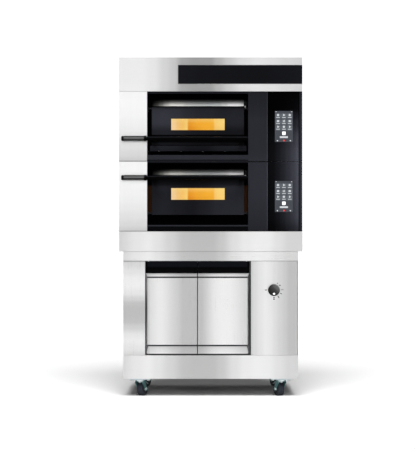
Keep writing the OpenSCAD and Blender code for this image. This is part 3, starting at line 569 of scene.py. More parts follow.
def lathe(bm, profile, origin, axis, segments=48, wave=None):
    """Turns a list of (radius, distance along) about an axis; wave(angle, index) scales a radius."""
    u, v, w = frame_of(axis)
    origin = Vector(origin)
    rings = []
    for i, (r, t) in enumerate(profile):
        if r < 1e-7:
            rings.append([bm.verts.new(origin + w * t)] * segments)
            continue
        ring = []
        for k in range(segments):
            a = 2 * math.pi * k / segments
            rr = r * (wave(a, i) if wave else 1)
            ring.append(bm.verts.new(origin + w * t + (u * math.cos(a) + v * math.sin(a)) * rr))
        rings.append(ring)
    for a, b in zip(rings, rings[1:]):
        for k in range(segments):
            j = (k + 1) % segments
            corners = list(dict.fromkeys((a[k], a[j], b[j], b[k])))
            if len(corners) > 2:
                bm.faces.new(corners)
    return bm


def rounded(width, height, radius, steps=4):
    """Outline of a rounded rectangle about the origin."""
    points = []
    for cx, cy, start in ((1, 1, 0), (-1, 1, 90), (-1, -1, 180), (1, -1, 270)):
        for k in range(steps + 1):
            a = math.radians(start + 90 * k / steps)
            points.append((cx * (width / 2 - radius) + radius * math.cos(a),
                           cy * (height / 2 - radius) + radius * math.sin(a)))
    return points


def prism(bm, outline, origin, u, v, depth):
    """An outline laid along directions u and v, pushed out by depth along u x v."""
    u, v, origin = Vector(u), Vector(v), Vector(origin)
    w = u.cross(v).normalized()
    base = [bm.verts.new(origin + u * a + v * b) for a, b in outline]
    top = [bm.verts.new(origin + u * a + v * b + w * depth) for a, b in outline]
    for k in range(len(outline)):
        j = (k + 1) % len(outline)
        bm.faces.new((base[k], base[j], top[j], top[k]))
    bm.faces.new(top)
    bm.faces.new(list(reversed(base)))


def block(bm, low, high, chamfer=0.0005):
    """A box between two corners with its edges chamfered."""
    low, high = Vector(low), Vector(high)
    made = bmesh.ops.create_cube(bm, size=1.0)
    size = high - low
    for v in made["verts"]:
        v.co = Vector((low.x + (v.co.x + 0.5) * size.x, low.y + (v.co.y + 0.5) * size.y,
                       low.z + (v.co.z + 0.5) * size.z))
    edges = list({e for v in made["verts"] for e in v.link_edges})
    bmesh.ops.bevel(bm, geom=edges, offset=chamfer, segments=2, affect="EDGES", profile=0.6)


def softened(node, material, width=0.0006):
    """A CAD node that keeps its shape: its facets joined, its sharp edges broken by a small bevel."""
    obj = NODES[node]
    weld = obj.modifiers.new("weld", "WELD")
    weld.merge_threshold = 1e-6
    flat = obj.modifiers.new("flat", "DECIMATE")
    flat.decimate_type = "DISSOLVE"
    flat.angle_limit = math.radians(0.4)
    crease = math.radians(32)
    if width:
        bevel = obj.modifiers.new("bevel", "BEVEL")
        bevel.width = width
        bevel.segments = 2
        bevel.limit_method = "ANGLE"
        bevel.angle_limit = crease
        bevel.harden_normals = False
        bevel.use_clamp_overlap = True
    for p in obj.data.polygons:
        p.use_smooth = True
    obj.modifiers.new("smooth", "WEIGHTED_NORMAL").keep_sharp = True
    obj.data.set_sharp_from_angle(angle=crease)
    obj.data.materials.clear()
    obj.data.materials.append(material)


# --- the object's finishes, with their painted light

def sheet_finish(s, tone, scratches):
    """Ends a rolled sheet's material: the tone, shaded by its scratches and faint clouds."""
    clouds = s.vary(s.speckle(5.0, 2.0, 0.45), -0.006, 0.006)
    shade = s.total(s.vary(scratches, 0.978, 1.022, 0.25), clouds)
    s.bump(scratches, 0.12, 0.0004)
    s.set(Metallic=1.0, Roughness=s.vary(scratches, 0.25, 0.35, 0.3))
    return s.times(tone, s.product(shade, SHEET_GAIN))


def prover_front_steel():
    """One folded part: its stiles have upright painted reflection bands, the band over them level ones."""
    s = Shader("prover_front_steel")
    split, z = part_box("prover_column")[1].z, s.raw("Z")
    stiles = s.grey_ramp(s.axis("Z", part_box("prover_plinth")[1].z, split), levels(STILE_Z))
    band = s.grey_ramp(s.axis("X", *WIDE), levels(PAINTED_REFLECTION_X))
    is_band = s.above(z, split)
    scratches = s.mix(is_band, s.brushed((520, 260, 4)), s.brushed((4, 260, 520)))
    seam = s.below(s.math("ABSOLUTE", s.math("SUBTRACT", z, split), 0), 0.0025)
    tone = s.mix(s.product(seam, 0.55), s.mix(is_band, stiles, band), (0.16, 0.16, 0.17))
    sheet = sheet_finish(s, tone, scratches)
    s.set(Base_Color=s.mix(s.product(s.edge(0.0012), 0.3), sheet, (0.62, 0.62, 0.63)))
    return s.mat


def visor_steel():
    """Satin strips over the doors with painted light: painted shade where they tuck into the bay, a painted warm
    light at the left and a brighter painted reflection at the right.
    """
    s = Shader("visor_steel")
    low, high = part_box("door_visors")
    top = high.z - UPPER_Z
    # Painted light across the visor with painted shade at its left end; painted shade toward its top where it
    # tucks into the bay
    across = s.ramp(s.axis("X", low.x, high.x), [(at, tint(*c)) for at, c in VISOR_X])
    height = s.math("FLOORED_MODULO", s.math("SUBTRACT", s.raw("Z"), LOWER_Z), UPPER_Z - LOWER_Z)
    rise = s.grey_ramp(s.span(height, top - 0.0395, top, 0.0, 1.0), VISOR_RISE)
    scratches = s.brushed((4, 260, 520))
    # Painted shadow of the lower handle bar along the bottom of the lower visor
    rod_shadow = s.below(s.raw("Z"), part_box("lower_handle_bar")[1].z + 0.0035)
    tone = s.times(s.times(across, rise), s.vary(scratches, 0.60, 0.66, 0.25))
    s.set(Base_Color=s.mix(s.product(rod_shadow, 0.9), tone, (0, 0, 0)), Metallic=0.1, Specular_IOR_Level=0.2,
          Roughness=s.vary(scratches, 0.38, 0.5, 0.3))
    s.bump(scratches, 0.12, 0.0004)
    return s.mat


def leaf_steel():
    """Prover door leaf with painted light: painted reflection bands across both leaves, painted shade lines in the
    pull groove, at the ledge and along the bottom, and painted shade on the scoop, the deep faces, the outer
    corners and the faces above the scoop that don't look forward, with a painted flank tone.
    """
    s = Shader("prover_door_steel")
    low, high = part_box("prover_door_left")[0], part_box("prover_door_right")[1]
    x, y, z = s.raw("X"), s.raw("Y"), s.raw("Z")
    stops = [((at - low.x) / (high.x - low.x), lin(level)) for at, level in LEAF_X]
    tone = s.grey_ramp(s.axis("X", low.x, high.x), stops, smooth=False)
    # Painted shade lines: the pull groove, under the ledge, and along the bottom edge
    lines = s.either(s.within(z, *GROOVE_Z), s.within(z, LEDGE_Z - 0.0035, LEDGE_Z + 0.001))
    lines = s.either(lines, s.below(z, low.z + 0.0055))
    tone = s.mix(s.product(lines, 0.97), tone, (0.02, 0.02, 0.021))
    # Painted shade on the scoop below the ledge, darker toward its top
    scoop = s.product(s.below(z, LEDGE_Z - 0.004), s.span(z, low.z, LEDGE_Z, -0.08, 0.28))
    tone = s.mix(scoop, tone, (0.30, 0.30, 0.31))
    # Painted shade on front faces set deep in the leaf
    deep = s.product(s.below(s.toward("Y"), -0.25), s.above(y, low.y + 0.0135))
    tone = s.mix(s.product(deep, s.below(z, LEDGE_Z + 0.002)), tone, tint(100, 100, 102))
    # Painted flank tone on faces that look sideways
    flank = s.grey_ramp(s.axis("Z", low.z, high.z), levels(PLAIN))
    tone = s.mix(s.span(s.facing("X"), 0.45, 0.8, 0.0, 1.0), tone, flank)
    # Painted shade on the outer corners below the ledge
    inset = s.span(z, low.z, LEDGE_Z, 0.0035, 0.0155)
    outer = s.either(s.below(s.math("SUBTRACT", x, low.x), inset),
                     s.below(s.math("SUBTRACT", high.x, x), inset))
    corner = s.product(outer, s.product(s.below(z, LEDGE_Z), s.above(y, low.y + 0.001)))
    tone = s.mix(corner, tone, tint(92, 92, 94))
    # Painted shade, near black, on faces above the scoop that don't look forward
    unlit = s.product(s.above(z, SCOOP_TOP), s.below(s.toward("Y"), 0.25))
    tone = s.mix(unlit, tone, (0.002, 0.002, 0.002))
    s.set(Base_Color=sheet_finish(s, tone, s.brushed(GRAIN["Z"])))
    return s.mat


def liner_steel():
    """Bright cabin sheet with painted shade, near black, all round its front rim."""
    s = Shader("liner_steel")
    scratches = s.brushed(GRAIN["X"])
    # Painted shade, near black and not metallic, on the front rim
    rim = s.below(s.raw("Y"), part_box("prover_liner")[0].y + 0.0015)
    sheet = s.mix(s.vary(scratches, 0.0, 1.0, 0.25), (0.42, 0.42, 0.43), (0.50, 0.50, 0.51))
    rim_shade = s.mix(s.vary(scratches, 0.0, 1.0, 0.25), (0.010, 0.010, 0.011), (0.018, 0.018, 0.019))
    s.set(Base_Color=s.mix(rim, sheet, rim_shade), Metallic=s.math("SUBTRACT", 1.0, rim),
          Roughness=s.vary(scratches, 0.26, 0.36, 0.3))
    s.bump(scratches, 0.06, 0.0003)
    return s.mat


def rail_coat():
    """Black pull rail: satin on its face, with painted shade, near black, in the hollow behind."""
    s = Shader("rail_coat")
    peel = s.speckle(900.0, 2.0, 0.5)
    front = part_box("prover_rail_left")[0].y
    # Painted shade, near black, on surfaces behind the rail's face
    deep = s.above(s.raw("Y"), front + 0.002)
    face = s.mix(s.vary(peel, 0.0, 1.0), coat_tint(15, 16, 21),
                 coat_tint(19, 20, 25))
    s.set(Base_Color=s.mix(deep, face, (0.0006, 0.0006, 0.0007)), Roughness=s.vary(peel, 0.45, 0.6),
          Specular_IOR_Level=0.02)
    s.bump(peel, 0.12, 0.0003)
    return s.mat


def bar_gloss(deck):
    """Black enamelled bar with one painted highlight line along its upper third."""
    s = Shader(f"{deck}_bar_gloss")
    grip_low, grip_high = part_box(f"{deck}_handle_grip")
    middle = (grip_low.z + grip_high.z) / 2
    smear = s.noise((3, 60, 60), 1.0, 3.0, 0.55)
    # Painted highlight line along the upper third
    line = s.grey_ramp(s.span(s.raw("Z"), middle - 0.011, middle + 0.011, 0.0, 1.0),
                       levels([(0, 1), (0.7, 2), (0.79, 30), (0.87, 36), (0.94, 10), (1, 2)], COAT_GAIN))
    s.set(Base_Color=blue_black(s, s.times(line, s.vary(smear, 0.85, 1.15))),
          Roughness=s.vary(smear, 0.25, 0.4), Specular_IOR_Level=0.02)
    s.bump(smear, 0.03, 0.0003)
    return s.mat


def fork_plating():
    """Zinc-plated pressing with painted light: a painted highlight where it faces forward or up, painted shade,
    blue-green, on its flanks.
    """
    s = Shader("fork_plating")
    patches = s.speckle(60.0, 3.0, 0.6)
    scuffs = s.speckle(420.0, 3.0, 0.6)
    # Painted shade on the flanks, painted highlight on faces looking forward or up
    flank = s.mix(s.vary(patches, 0.0, 1.0), (0.02, 0.085, 0.08), (0.12, 0.26, 0.26))
    face = s.mix(s.span(patches, 0.35, 0.75, 0.0, 0.8), (0.88, 0.91, 0.92), (0.6, 0.7, 0.7))
    bright = s.span(s.either(s.facing("Y"), s.facing("Z")), 0.75, 0.93, 0.0, 1.0)
    s.set(Base_Color=s.mix(bright, flank, face), Metallic=0.75, Roughness=s.vary(scuffs, 0.2, 0.4, 0.3))
    s.bump(scuffs, 0.15, 0.0003)
    return s.mat


def pin_steel():
    """Ground hinge pins: bright at the prover, blackened by oxide up at the oven doors."""
    s = Shader("pin_steel")
    turned = s.speckle(300.0, 3.0, 0.6)
    black = s.above(s.raw("Z"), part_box("support_frame")[1].z)
    bright = s.mix(s.vary(turned, 0.0, 1.0), (0.55, 0.55, 0.56), (0.75, 0.75, 0.76))
    oxide = s.mix(s.vary(turned, 0.0, 1.0), (0.006, 0.006, 0.007), (0.015, 0.015, 0.016))
    s.set(Base_Color=s.mix(black, bright, oxide), Metallic=0.8, Roughness=s.vary(turned, 0.3, 0.5, 0.3))
    s.bump(turned, 0.1, 0.0002)
    return s.mat


# Heights and sizes in metres, and the overall tone of the coated sheet
SCREEN_HEIGHT = 0.167
GROOVE_Z = (0.6415, 0.6495)
LEDGE_Z = 0.280
SCOOP_TOP = 0.668
COAT_GAIN = 0.2
DOOR_GAIN = 1.6 * COAT_GAIN
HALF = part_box("support_frame")[1].x
LOWER_Z, UPPER_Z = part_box("lower_casing")[0].z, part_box("upper_casing")[0].z
HOOD_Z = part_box("hood_shell")[0].z
WIDE = (-HALF, HALF)
COLUMN_LOW, COLUMN_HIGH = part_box("prover_column")

for deck in DECKS:
    low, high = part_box(f"{deck}_casing")
    softened(f"{deck}_casing", steel(f"{deck}_casing_steel", "Z", (low.z, high.z), PANEL_Z, "Z"))
softened("hood_shell", steel("hood_steel", "X", WIDE, HOOD_X))
softened("support_frame", steel("band_steel", "X", WIDE, PAINTED_REFLECTION_X))
softened("prover_plinth", steel("plinth_steel", "X", WIDE, PAINTED_REFLECTION_X))
softened("prover_shell", steel("prover_steel", "X", WIDE, PAINTED_REFLECTION_X, "Z"))
softened("prover_column", steel("prover_column_steel", "X", (COLUMN_LOW.x, COLUMN_HIGH.x), COLUMN_X, "Z"))
softened("prover_front", prover_front_steel())
door_steel = leaf_steel()
softened("prover_door_left", door_steel)
softened("prover_door_right", door_steel)
bright = steel("bright_steel", "X", WIDE, PLAIN, "X", 0.24)
softened("prover_liner", liner_steel(), 0.0003)
for node in ("tray_runners", "humidifier_pan", "grease_filter", "bonding_stud", "fasteners"):
    softened(node, bright, 0.0003)
softened("hinge_pins", pin_steel(), 0.0003)
softened("rear_covers", steel("cover_steel", "X", WIDE, PLAIN, "X", 0.32))
softened("exhaust_spigot", zinc("galvanised", (0.62, 0.64, 0.66), (0.48, 0.53, 0.57)))
softened("door_visors", visor_steel(), 0.0003)
DOOR = {deck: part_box(f"{deck}_door_panel") for deck in DECKS}


def column_tone(s):
    """Charcoal with painted sheen up it, and a fine painted highlight line down the edge beside the glass and down
    the outer edge.
    """
    glass_left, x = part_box("control_glasses")[0].x, s.raw("X")
    tone = s.grey_ramp(s.axis("Z", LOWER_Z, HOOD_Z), levels(COLUMN_Z, COAT_GAIN), smooth=False)
    # Painted highlight lines
    line = s.either(s.within(x, glass_left - 0.0042, glass_left + 0.001), s.above(x, HALF - 0.0055))
    return blue_black(s, s.times(tone, s.span(line, 0.0, 1.0, 1.0, 2.2)))


def bay_tone(deck):
    """Painted shade, near black, inside; painted highlights on the frame's front edges and a painted warm
    reflection on the lower bay's side walls.
    """
    low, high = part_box(f"{deck}_bay")
    floor = (LOWER_Z, UPPER_Z)[deck == "upper"]

    def tone(s):
        x, z = s.raw("X"), s.raw("Z")
        rise = s.axis("Z", floor, floor + UPPER_Z - LOWER_Z)
        # Painted highlights and shade on the frame's front faces, by height
        edge = s.grey_ramp(rise, levels(BAY_RISE[deck], COAT_GAIN), smooth=False)
        # Painted shade: near black inside the bay
        inner = coat_tint(3, 3, 3)
        # Painted warm reflection on the lower bay's side walls
        if deck == "lower":
            side = s.product(s.within(z, floor + 0.10, floor + 0.25),
                             s.either(s.below(x, low.x + 0.025), s.above(x, high.x - 0.022)))
            inner = s.mix(side, inner, tuple(0.5 * c for c in tint(38, 22, 12)))
        return s.mix(s.below(s.raw("Y"), low.y + 0.0012), inner, blue_black(s, edge))
    return tone


charcoal = coated("charcoal_coat", column_tone, specular=0.03, edge_gain=0.3, edge_colour=(0.02, 0.02, 0.024))
for deck in DECKS:
    softened(f"{deck}_column", charcoal)
    softened(f"{deck}_door_panel", coated(f"{deck}_door_coat", door_tone(deck), specular=0.02, edge_gain=0.25,
                                          edge_colour=(0.01, 0.01, 0.012)))
    softened(f"{deck}_bay", coated(f"{deck}_bay_coat", bay_tone(deck), rough=0.6, specular=0.005,
                                   edge_gain=0.2, edge_colour=(0.004, 0.004, 0.005)))
softened("hood_fascia", coated("fascia_coat", across_tone("hood_fascia", FASCIA_X), rough=0.45, specular=0.02,
                               edge_gain=0.2, edge_colour=(0.02, 0.02, 0.024)))
softened("upper_sill", coated("sill_coat", across_tone("upper_sill", SILL_X), specular=0.01,
                              edge_colour=(0.01, 0.01, 0.012)))
softened("control_glasses", control_glass(), 0.0004)
softened("touchscreens", display("screen_ground", tint(71, 74, 80), 0.5), 0.0003)
# The chamber walls and the heating elements glow with painted lamp light
lit_sheet = lit_chamber(*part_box("chambers"))
softened("chambers", lit_sheet, 0)
softened("baking_stones", refractory(), 0.001)
softened("heating_elements", lit_sheet, 0)
softened("insulation", mineral_wool(), 0.004)
softened("chamber_lamps", lamp_material("chamber_lamp", (1.0, 0.78, 0.45), 2.0), 0.0003)
softened("control_boards", circuit(), 0.0003)
softened("door_seals", braid(), 0.001)
back_steel = heat_tinted()
pane = clear_glass()
for deck in DECKS:
    softened(f"{deck}_door_back", back_steel, 0.0004)
    softened(f"{deck}_door_glass", pane, 0.0005)
moulded_black = plastic("moulded_black", tint(14, 14, 16), rough=0.4, specular=0.25)
for deck in DECKS:
    softened(f"{deck}_handle_bar", bar_gloss(deck), 0.0006)
rail_black = rail_coat()
softened("prover_rail_left", rail_black)
softened("prover_rail_right", rail_black)
softened("mains_gland", moulded_black, 0.0005)
softened("thermostat", plastic("thermostat_body", tint(150, 146, 132), rough=0.5), 0.0004)
softened("prover_heater", oxidised(), 0)
fork_zinc = fork_plating()
plate_zinc = zinc("plate_zinc")
softened("castor_plates", plate_zinc, 0.0005)
CORNERS = [f"{row}_{side}" for row in ("front", "rear") for side in ("left", "right")]
for corner in CORNERS:
    softened(f"castor_fork_{corner}", fork_zinc, 0.0005)


# --- rebuilt round parts

def grip_rubber(deck):
    """Charcoal grip rubber with painted light: a painted highlight line on its front, painted shade above and
    below it.
    """
    s = Shader(f"{deck}_grip_rubber")
    low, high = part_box(f"{deck}_handle_grip")
    broad = s.speckle(30.0, 3.0, 0.5)
    bands = s.grey_ramp(s.axis("Z", low.z, high.z), GRIP_RISE)
    s.set(Base_Color=s.times(bands, s.vary(broad, 0.92, 1.08)), Roughness=s.vary(broad, 0.49, 0.63),
          Specular_IOR_Level=0.06)
    s.bump(s.speckle(900.0, 2.0, 0.5), 0.15, 0.0003)
    return s.mat


def hand_grip(deck):
    """Fluted grip sleeve and a chamfered end cap."""
    node = f"{deck}_handle_grip"
    low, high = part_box(node)
    centre = Vector((high.x, (low.y + high.y) / 2, (low.z + high.z) / 2))
    r, length, bore = (high.z - low.z) / 2, high.x - low.x, 0.0061
    end = length - 0.013

    def flutes(angle, index):
        return 1 - 0.025 * (1 - math.cos(20 * angle)) if 3 <= index <= 8 else 1
    sleeve = [(bore, 0), (r * 0.94, 0)]
    sleeve += [(r, at) for at in (0.001, 0.004, 0.005, 0.03, 0.055, 0.08, end - 0.004, end - 0.003)]
    sleeve += [(r * 0.95, end - 0.001), (r * 0.9, end - 0.001), (bore, end - 0.001)]
    bm = lathe(bmesh.new(), sleeve, centre, (-1, 0, 0), 80, flutes)
    piece(f"{deck}_grip_sleeve", bm, BODY_OF[node], grip_rubber(deck), [node])
    tip = [(0, end - 0.0008), (r * 0.93, end - 0.0008), (r * 0.93, end + 0.001), (r, end + 0.002),
           (r, length - 0.006), (r * 0.93, length - 0.003), (r * 0.76, length - 0.0005), (r * 0.6, length),
           (0, length)]
    bm = lathe(bmesh.new(), tip, centre, (-1, 0, 0), 48)
    piece(f"{deck}_grip_cap", bm, BODY_OF[node], CAP_BLACK)


def knob_with_painted_sheen():
    """Moulded knob with painted light, lighter toward its upper right."""
    s = Shader("knob_with_painted_sheen")
    low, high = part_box("thermostat_knob")
    slant = s.total(s.axis("X", low.x, high.x), s.axis("Z", low.z, high.z))
    fine = s.speckle(600.0, 2.0, 0.5)
    tone = s.grey_ramp(s.span(slant, 0.3, 1.7, 0.0, 1.0), levels(KNOB_SLANT, 0.5))
    s.set(Base_Color=tone, Roughness=s.vary(fine, 0.32, 0.42), Specular_IOR_Level=0.08)
    s.bump(fine, 0.1, 0.0002)
    return s.mat


def thermostat_knob():
    """Dished knob with a finely ribbed skirt, a raised rim and a white pointer dot."""
    low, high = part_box("thermostat_knob")
    x, z = (low.x + high.x) / 2, (low.z + high.z) / 2
    r, root = (high.x - low.x) / 2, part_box("prover_column")[0].y - 0.001
    depth = root - low.y

    def ribs(angle, index):
        return 1 - 0.012 * (1 - math.cos(60 * angle)) / 2 if 2 <= index <= 5 else 1
    rim = ((0, 0.006), (0.0008, 0.003), (0.003, 0.0006), (0.0045, 0), (0.0062, 0.0003), (0.0078, 0.0016))
    profile = [(0, 0), (r - 0.0012, 0), (r, 0.001), (r, 0.003), (r, depth * 0.6)]
    profile += [(r - inward, depth - back) for inward, back in rim]
    profile += [(r * 0.45, depth - 0.0022), (0, depth - 0.0023)]
    bm = lathe(bmesh.new(), profile, (x, root, z), (0, -1, 0), 120, ribs)
    stem = [(0, 0), (0.003, 0), (0.003, 0.0262), (0, 0.0262)]
    lathe(bm, stem, (x, root + 0.0002, z), (0, 1, 0), 24)
    piece("knob_body", bm, "knob", knob_with_painted_sheen(), ["thermostat_knob"])
    dot = [(0, -0.0004), (0.0052, -0.0004), (0.0052, 0.0006), (0.0046, 0.001), (0, 0.001)]
    bm = lathe(bmesh.new(), dot, (x, low.y + 0.0023, z - r * 0.64), (0, -1, 0), 32)
    piece("knob_dot", bm, "knob", paint_mark("dot_white", (0.42, 0.43, 0.42)))


def dial_marks():
    """Printed marks round the knob: a zero bar at the left, heat marks from the upper right to the bottom.
    Each mark has an angle, a distance from the knob's middle, a length and a width."""
    low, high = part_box("thermostat_knob")
    middle = Vector(((low.x + high.x) / 2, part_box("prover_column")[0].y + 0.0001, (low.z + high.z) / 2))
    dark, grey = bmesh.new(), bmesh.new()
    for angle, distance, length, width, target in (
            (180, 0.0435, 0.0120, 0.00406, dark), (62, 0.0405, 0.0048, 0.00580, grey),
            (38, 0.0410, 0.0060, 0.00696, dark), (2, 0.0400, 0.0036, 0.00609, grey),
            (2, 0.04825, 0.0042, 0.00609, dark), (-27, 0.0430, 0.0108, 0.00406, dark),
            (-57, 0.0440, 0.0132, 0.00435, dark), (-90, 0.0405, 0.0048, 0.00812, grey),
            (-90, 0.0495, 0.0072, 0.00812, grey)):
        a = math.radians(angle)
        out, across = Vector((math.cos(a), 0, math.sin(a))), Vector((-math.sin(a), 0, math.cos(a)))
        outline = rounded(length, width, min(length, width) * 0.3)
        prism(target, outline, middle + out * distance, out, across, 0.0004)
    piece("dial_marks_dark", dark, "cabinet", paint_mark("mark_dark", (0.001, 0.001, 0.001)))
    piece("dial_marks_grey", grey, "cabinet", paint_mark("mark_grey", tint(48, 49, 50)))


def mirrored(side, half, middle=()):
    """A closed profile, alike on both faces, from (radius, distance in from the face); middle is between."""
    left = [(r, inset - half) for r, inset in side]
    return left + list(middle) + [(r, -t) for r, t in reversed(left)] + left[:1]


def castor_wheel(corner):
    """Rubber tread with fine ribs on a dished plastic centre, about the axle the record gives."""
    node = f"castor_wheel_{corner}"
    roll = next(j for j in frame["joints"] if j["name"] == f"roll_{corner}")
    low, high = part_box(node)
    centre, axle = (low + high) / 2, Vector(roll["axis"])
    r, half, ribs = (high.z - low.z) / 2, 0.0175, []
    for k in range(5):
        at = -0.0088 + 0.0044 * k
        ribs += [(r, at - 0.0012), (r - 0.0008, at - 0.0006), (r - 0.0008, at + 0.0006), (r, at + 0.0012)]
    tyre = mirrored(((0.0265, 0), (r - 0.004, 0), (r - 0.0012, 0.0014), (r, 0.0045)), half, ribs)
    hub = mirrored(((0.0052, 0), (0.0128, 0), (0.0148, 0.004), (0.0238, 0.004), (0.0264, 0.0006)), half)
    tread, hub = lathe(bmesh.new(), tyre, centre, axle, 72), lathe(bmesh.new(), hub, centre, axle, 48)
    piece(f"wheel_tread_{corner}", tread, BODY_OF[node], TREAD, [node])
    piece(f"wheel_centre_{corner}", hub, BODY_OF[node], moulded_black)


def disc(radius, sides=20):
    """Outline of a regular polygon about the origin."""
    angles = [2 * math.pi * k / sides for k in range(sides)]
    return [(radius * math.cos(a), radius * math.sin(a)) for a in angles]


def key_icon(mark, kind, across, down):
    """One of four plain signs on a key: a disc, a block, a triangle or three rising bars."""
    if kind == 3:
        for k in (-1, 0, 1):
            mark("icons", across + 0.045 * k, down - 0.004 * k, (0.0028, 0.0112 + 0.002 * k))
    else:
        mark("icons", across, down, (0.0125, 0.0105), (disc(0.0062), None, disc(0.0078, 3))[kind])


def screen_picture():
    """What the touchscreens show: three rows of keys with signs, a readout, a long bar and a status row.
    Everything is a plain shape without lettering."""
    low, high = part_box("touchscreens")
    width, height = high.x - low.x, SCREEN_HEIGHT
    looks = {"tiles": (tint(98, 104, 110), 0.44), "icons": (tint(205, 208, 212), 0.5),
             "readout": (tint(246, 247, 248), 0.85), "red_dot": (tint(235, 62, 60), 0.8)}
    groups = {name: bmesh.new() for name in looks}
    for floor in (low.z, low.z + UPPER_Z - LOWER_Z):

        def mark(group, across, down, size, outline=None):
            centre = (low.x + width * across, low.y + 0.0001, floor + height * (1 - down))
            shape = outline or rounded(*size, min(size) * 0.18, 3)
            prism(groups[group], shape, centre, (1, 0, 0), (0, 0, 1), 0.0002 if group == "tiles" else 0.0004)
        for row, down in enumerate((0.15, 0.345, 0.53)):
            for column, across in enumerate((0.175, 0.5, 0.825)):
                mark("tiles", across, down + 0.015, (width * 0.30, height * 0.172))
                key_icon(mark, (row + 2 * column) % 4, across, down - 0.02)
                mark("icons", across, down + 0.058, (0.019, 0.0032))
        for across in (0.07, 0.93):
            mark("icons", across, 0.024, (0.006, 0.0032))
        mark("readout", 0.5, 0.72, (0.019, 0.019))
        mark("icons", 0.5, 0.845, (0.044, 0.0095))
        mark("icons", 0.14, 0.958, (0.007, 0.006))
        mark("icons", 0.86, 0.958, (0, 0), disc(0.0036))
        mark("red_dot", 0.5, 0.955, (0, 0), disc(0.0042))
    for name, bm in groups.items():
        piece(f"screen_{name}", bm, "cabinet", display(f"screen_{name}", *looks[name]))


def hinge_brackets():
    """Small steel keepers beside the top right corner of each oven door, and the dark angle above them."""
    bright_bm, dark_bm = bmesh.new(), bmesh.new()
    for deck in DECKS:
        x, z = DOOR[deck][1].x, DOOR[deck][1].z
        back, face = DOOR[deck][0].y + 0.0467, DOOR[deck][0].y + 0.029
        block(dark_bm, (x + 0.005, face + 0.008, z + 0.0095), (x + 0.0185, back, z + 0.033), 0.0008)
        block(bright_bm, (x + 0.003, face, z - 0.011), (x + 0.011, back, z + 0.0085), 0.0008)
        dome = [(0, 0), (0.0026, 0), (0.0026, 0.001), (0.0018, 0.002), (0, 0.0023)]
        lathe(bright_bm, dome, (x + 0.007, face + 0.0005, z - 0.001), (0, -1, 0), 20)
    piece("hinge_angles", dark_bm, "cabinet", coated("angle_coat", coat_tint(52, 53, 55), specular=0.05))
    piece("hinge_keepers", bright_bm, "cabinet", bright)


def sill_screws():
    """Dome-headed screws under the front edge of the upper sill."""
    low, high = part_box("upper_sill")
    bm = bmesh.new()
    for x in (-0.281, -0.162, -0.043, 0.076):
        dome = [(0, 0.0001), (0.0042, 0.0001), (0.0042, -0.0008), (0.0034, -0.0022), (0.0018, -0.0031),
                (0, -0.0034)]
        lathe(bm, dome, (x, low.y + 0.008, low.z), (0, 0, 1), 24)
    piece("sill_screws", bm, "cabinet", bright)


CAP_BLACK = plastic("cap_black", (0.001, 0.001, 0.0012), rough=0.45, specular=0.04)
TREAD = plastic("tread_rubber", tint(22, 24, 29), rough=0.65, specular=0.12, grain=500.0, grain_strength=0.25)
for deck in DECKS:
    hand_grip(deck)
thermostat_knob()
dial_marks()
screen_picture()
hinge_brackets()
sill_screws()
for corner in CORNERS:
    castor_wheel(corner)


# --- floor, light and camera

def stage():
    """A wide, flat, matt pale floor with a fine tooth."""
    bm = bmesh.new()
    bmesh.ops.create_grid(bm, x_segments=1, y_segments=1, size=FLOOR_REACH)
    mesh = bpy.data.meshes.new("floor")
    bm.to_mesh(mesh)
    bm.free()
    s = Shader("floor")
    grain = s.speckle(40.0, 3.0, 0.5)
    shade = s.times((1, 1, 1), s.vary(grain, FLOOR_SHADE * 0.99, FLOOR_SHADE))
    s.set(Base_Color=shade, Roughness=0.9, Specular_IOR_Level=0.0)
    mesh.materials.append(s.mat)
    floor = bpy.data.objects.new("floor", mesh)
    bpy.context.scene.collection.objects.link(floor)


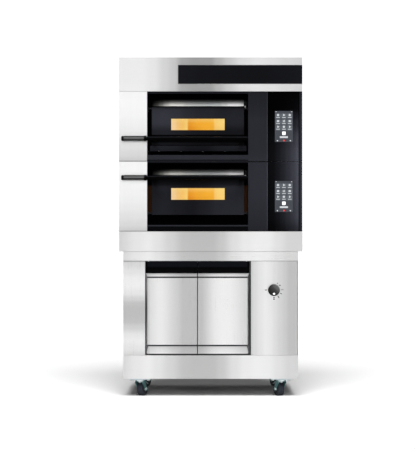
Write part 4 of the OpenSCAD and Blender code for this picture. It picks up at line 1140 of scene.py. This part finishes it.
def studio_world():
    """Even white surroundings: full in reflections, a little darker to the sides, weak as general light."""
    world = bpy.data.worlds.new("studio")
    bpy.context.scene.world = world
    world.use_nodes = True
    n = Nodes(world.node_tree)
    direction = n.node("ShaderNodeSeparateXYZ", Vector=n.coords.node.outputs["Generated"])
    level = n.span(n.math("ABSOLUTE", direction.outputs["X"], 0), 0.35, 1.0, 1.0, SIDE_LEVEL)
    ray = n.tree.nodes.new("ShaderNodeLightPath").outputs
    level = n.blend(ray["Is Diffuse Ray"], level, FILL_LEVEL)
    level = n.blend(ray["Is Camera Ray"], level, BACKDROP_LEVEL)
    sky = n.tree.nodes["Background"]
    n.put(sky.inputs["Strength"], level)
    n.put(sky.inputs["Color"], (1, 1, 1, 1))


def sun(name, azimuth, elevation, spread, strength):
    """A soft distant light from the given direction; azimuth 0 is the front."""
    data = bpy.data.lights.new(name, "SUN")
    data.energy = strength
    data.angle = math.radians(spread)
    light = bpy.data.objects.new(name, data)
    bpy.context.scene.collection.objects.link(light)
    a, e = math.radians(azimuth), math.radians(elevation)
    toward = Vector((math.sin(a) * math.cos(e), -math.cos(a) * math.cos(e), math.sin(e)))
    light.rotation_euler = toward.to_track_quat("Z", "Y").to_euler()
    light.location = toward * 5
    light.visible_glossy = False
    light.visible_transmission = False


def camera():
    """A long lens, level with the middle of the picture."""
    data = bpy.data.cameras.new("camera")
    data.sensor_width = SENSOR
    data.lens = SENSOR * VIEW_DISTANCE / PICTURE_HEIGHT
    data.clip_start, data.clip_end = 1.0, 1000.0
    data.dof.use_dof = False
    cam = bpy.data.objects.new("camera", data)
    bpy.context.scene.collection.objects.link(cam)
    cam.location = (VIEW_X, -VIEW_DISTANCE + FRONT_Y, VIEW_HEIGHT)
    cam.rotation_euler = (math.radians(90), 0, 0)
    bpy.context.scene.camera = cam


# Strength of the white surroundings: in reflections from the sides, seen directly, and as general light
SIDE_LEVEL = 0.62
BACKDROP_LEVEL = 1.15
FILL_LEVEL = 0.3
# The floor: its pale tone, and how far it reaches from the middle
FLOOR_SHADE = 0.352
FLOOR_REACH = 400.0
# The camera: its sensor in millimetres, the rest in metres
SENSOR = 36.0
VIEW_DISTANCE = 11.636
PICTURE_HEIGHT = 2.43
VIEW_HEIGHT = 0.928
VIEW_X = -0.017
FRONT_Y = CAD_BOX[0].y + 0.061
stage()
studio_world()
sun("key", azimuth=0.0, elevation=46.0, spread=36.0, strength=11.4)
sun("front", azimuth=0.0, elevation=9.0, spread=20.0, strength=3.0)
camera()
bpy.context.scene.view_settings.view_transform = "Standard"
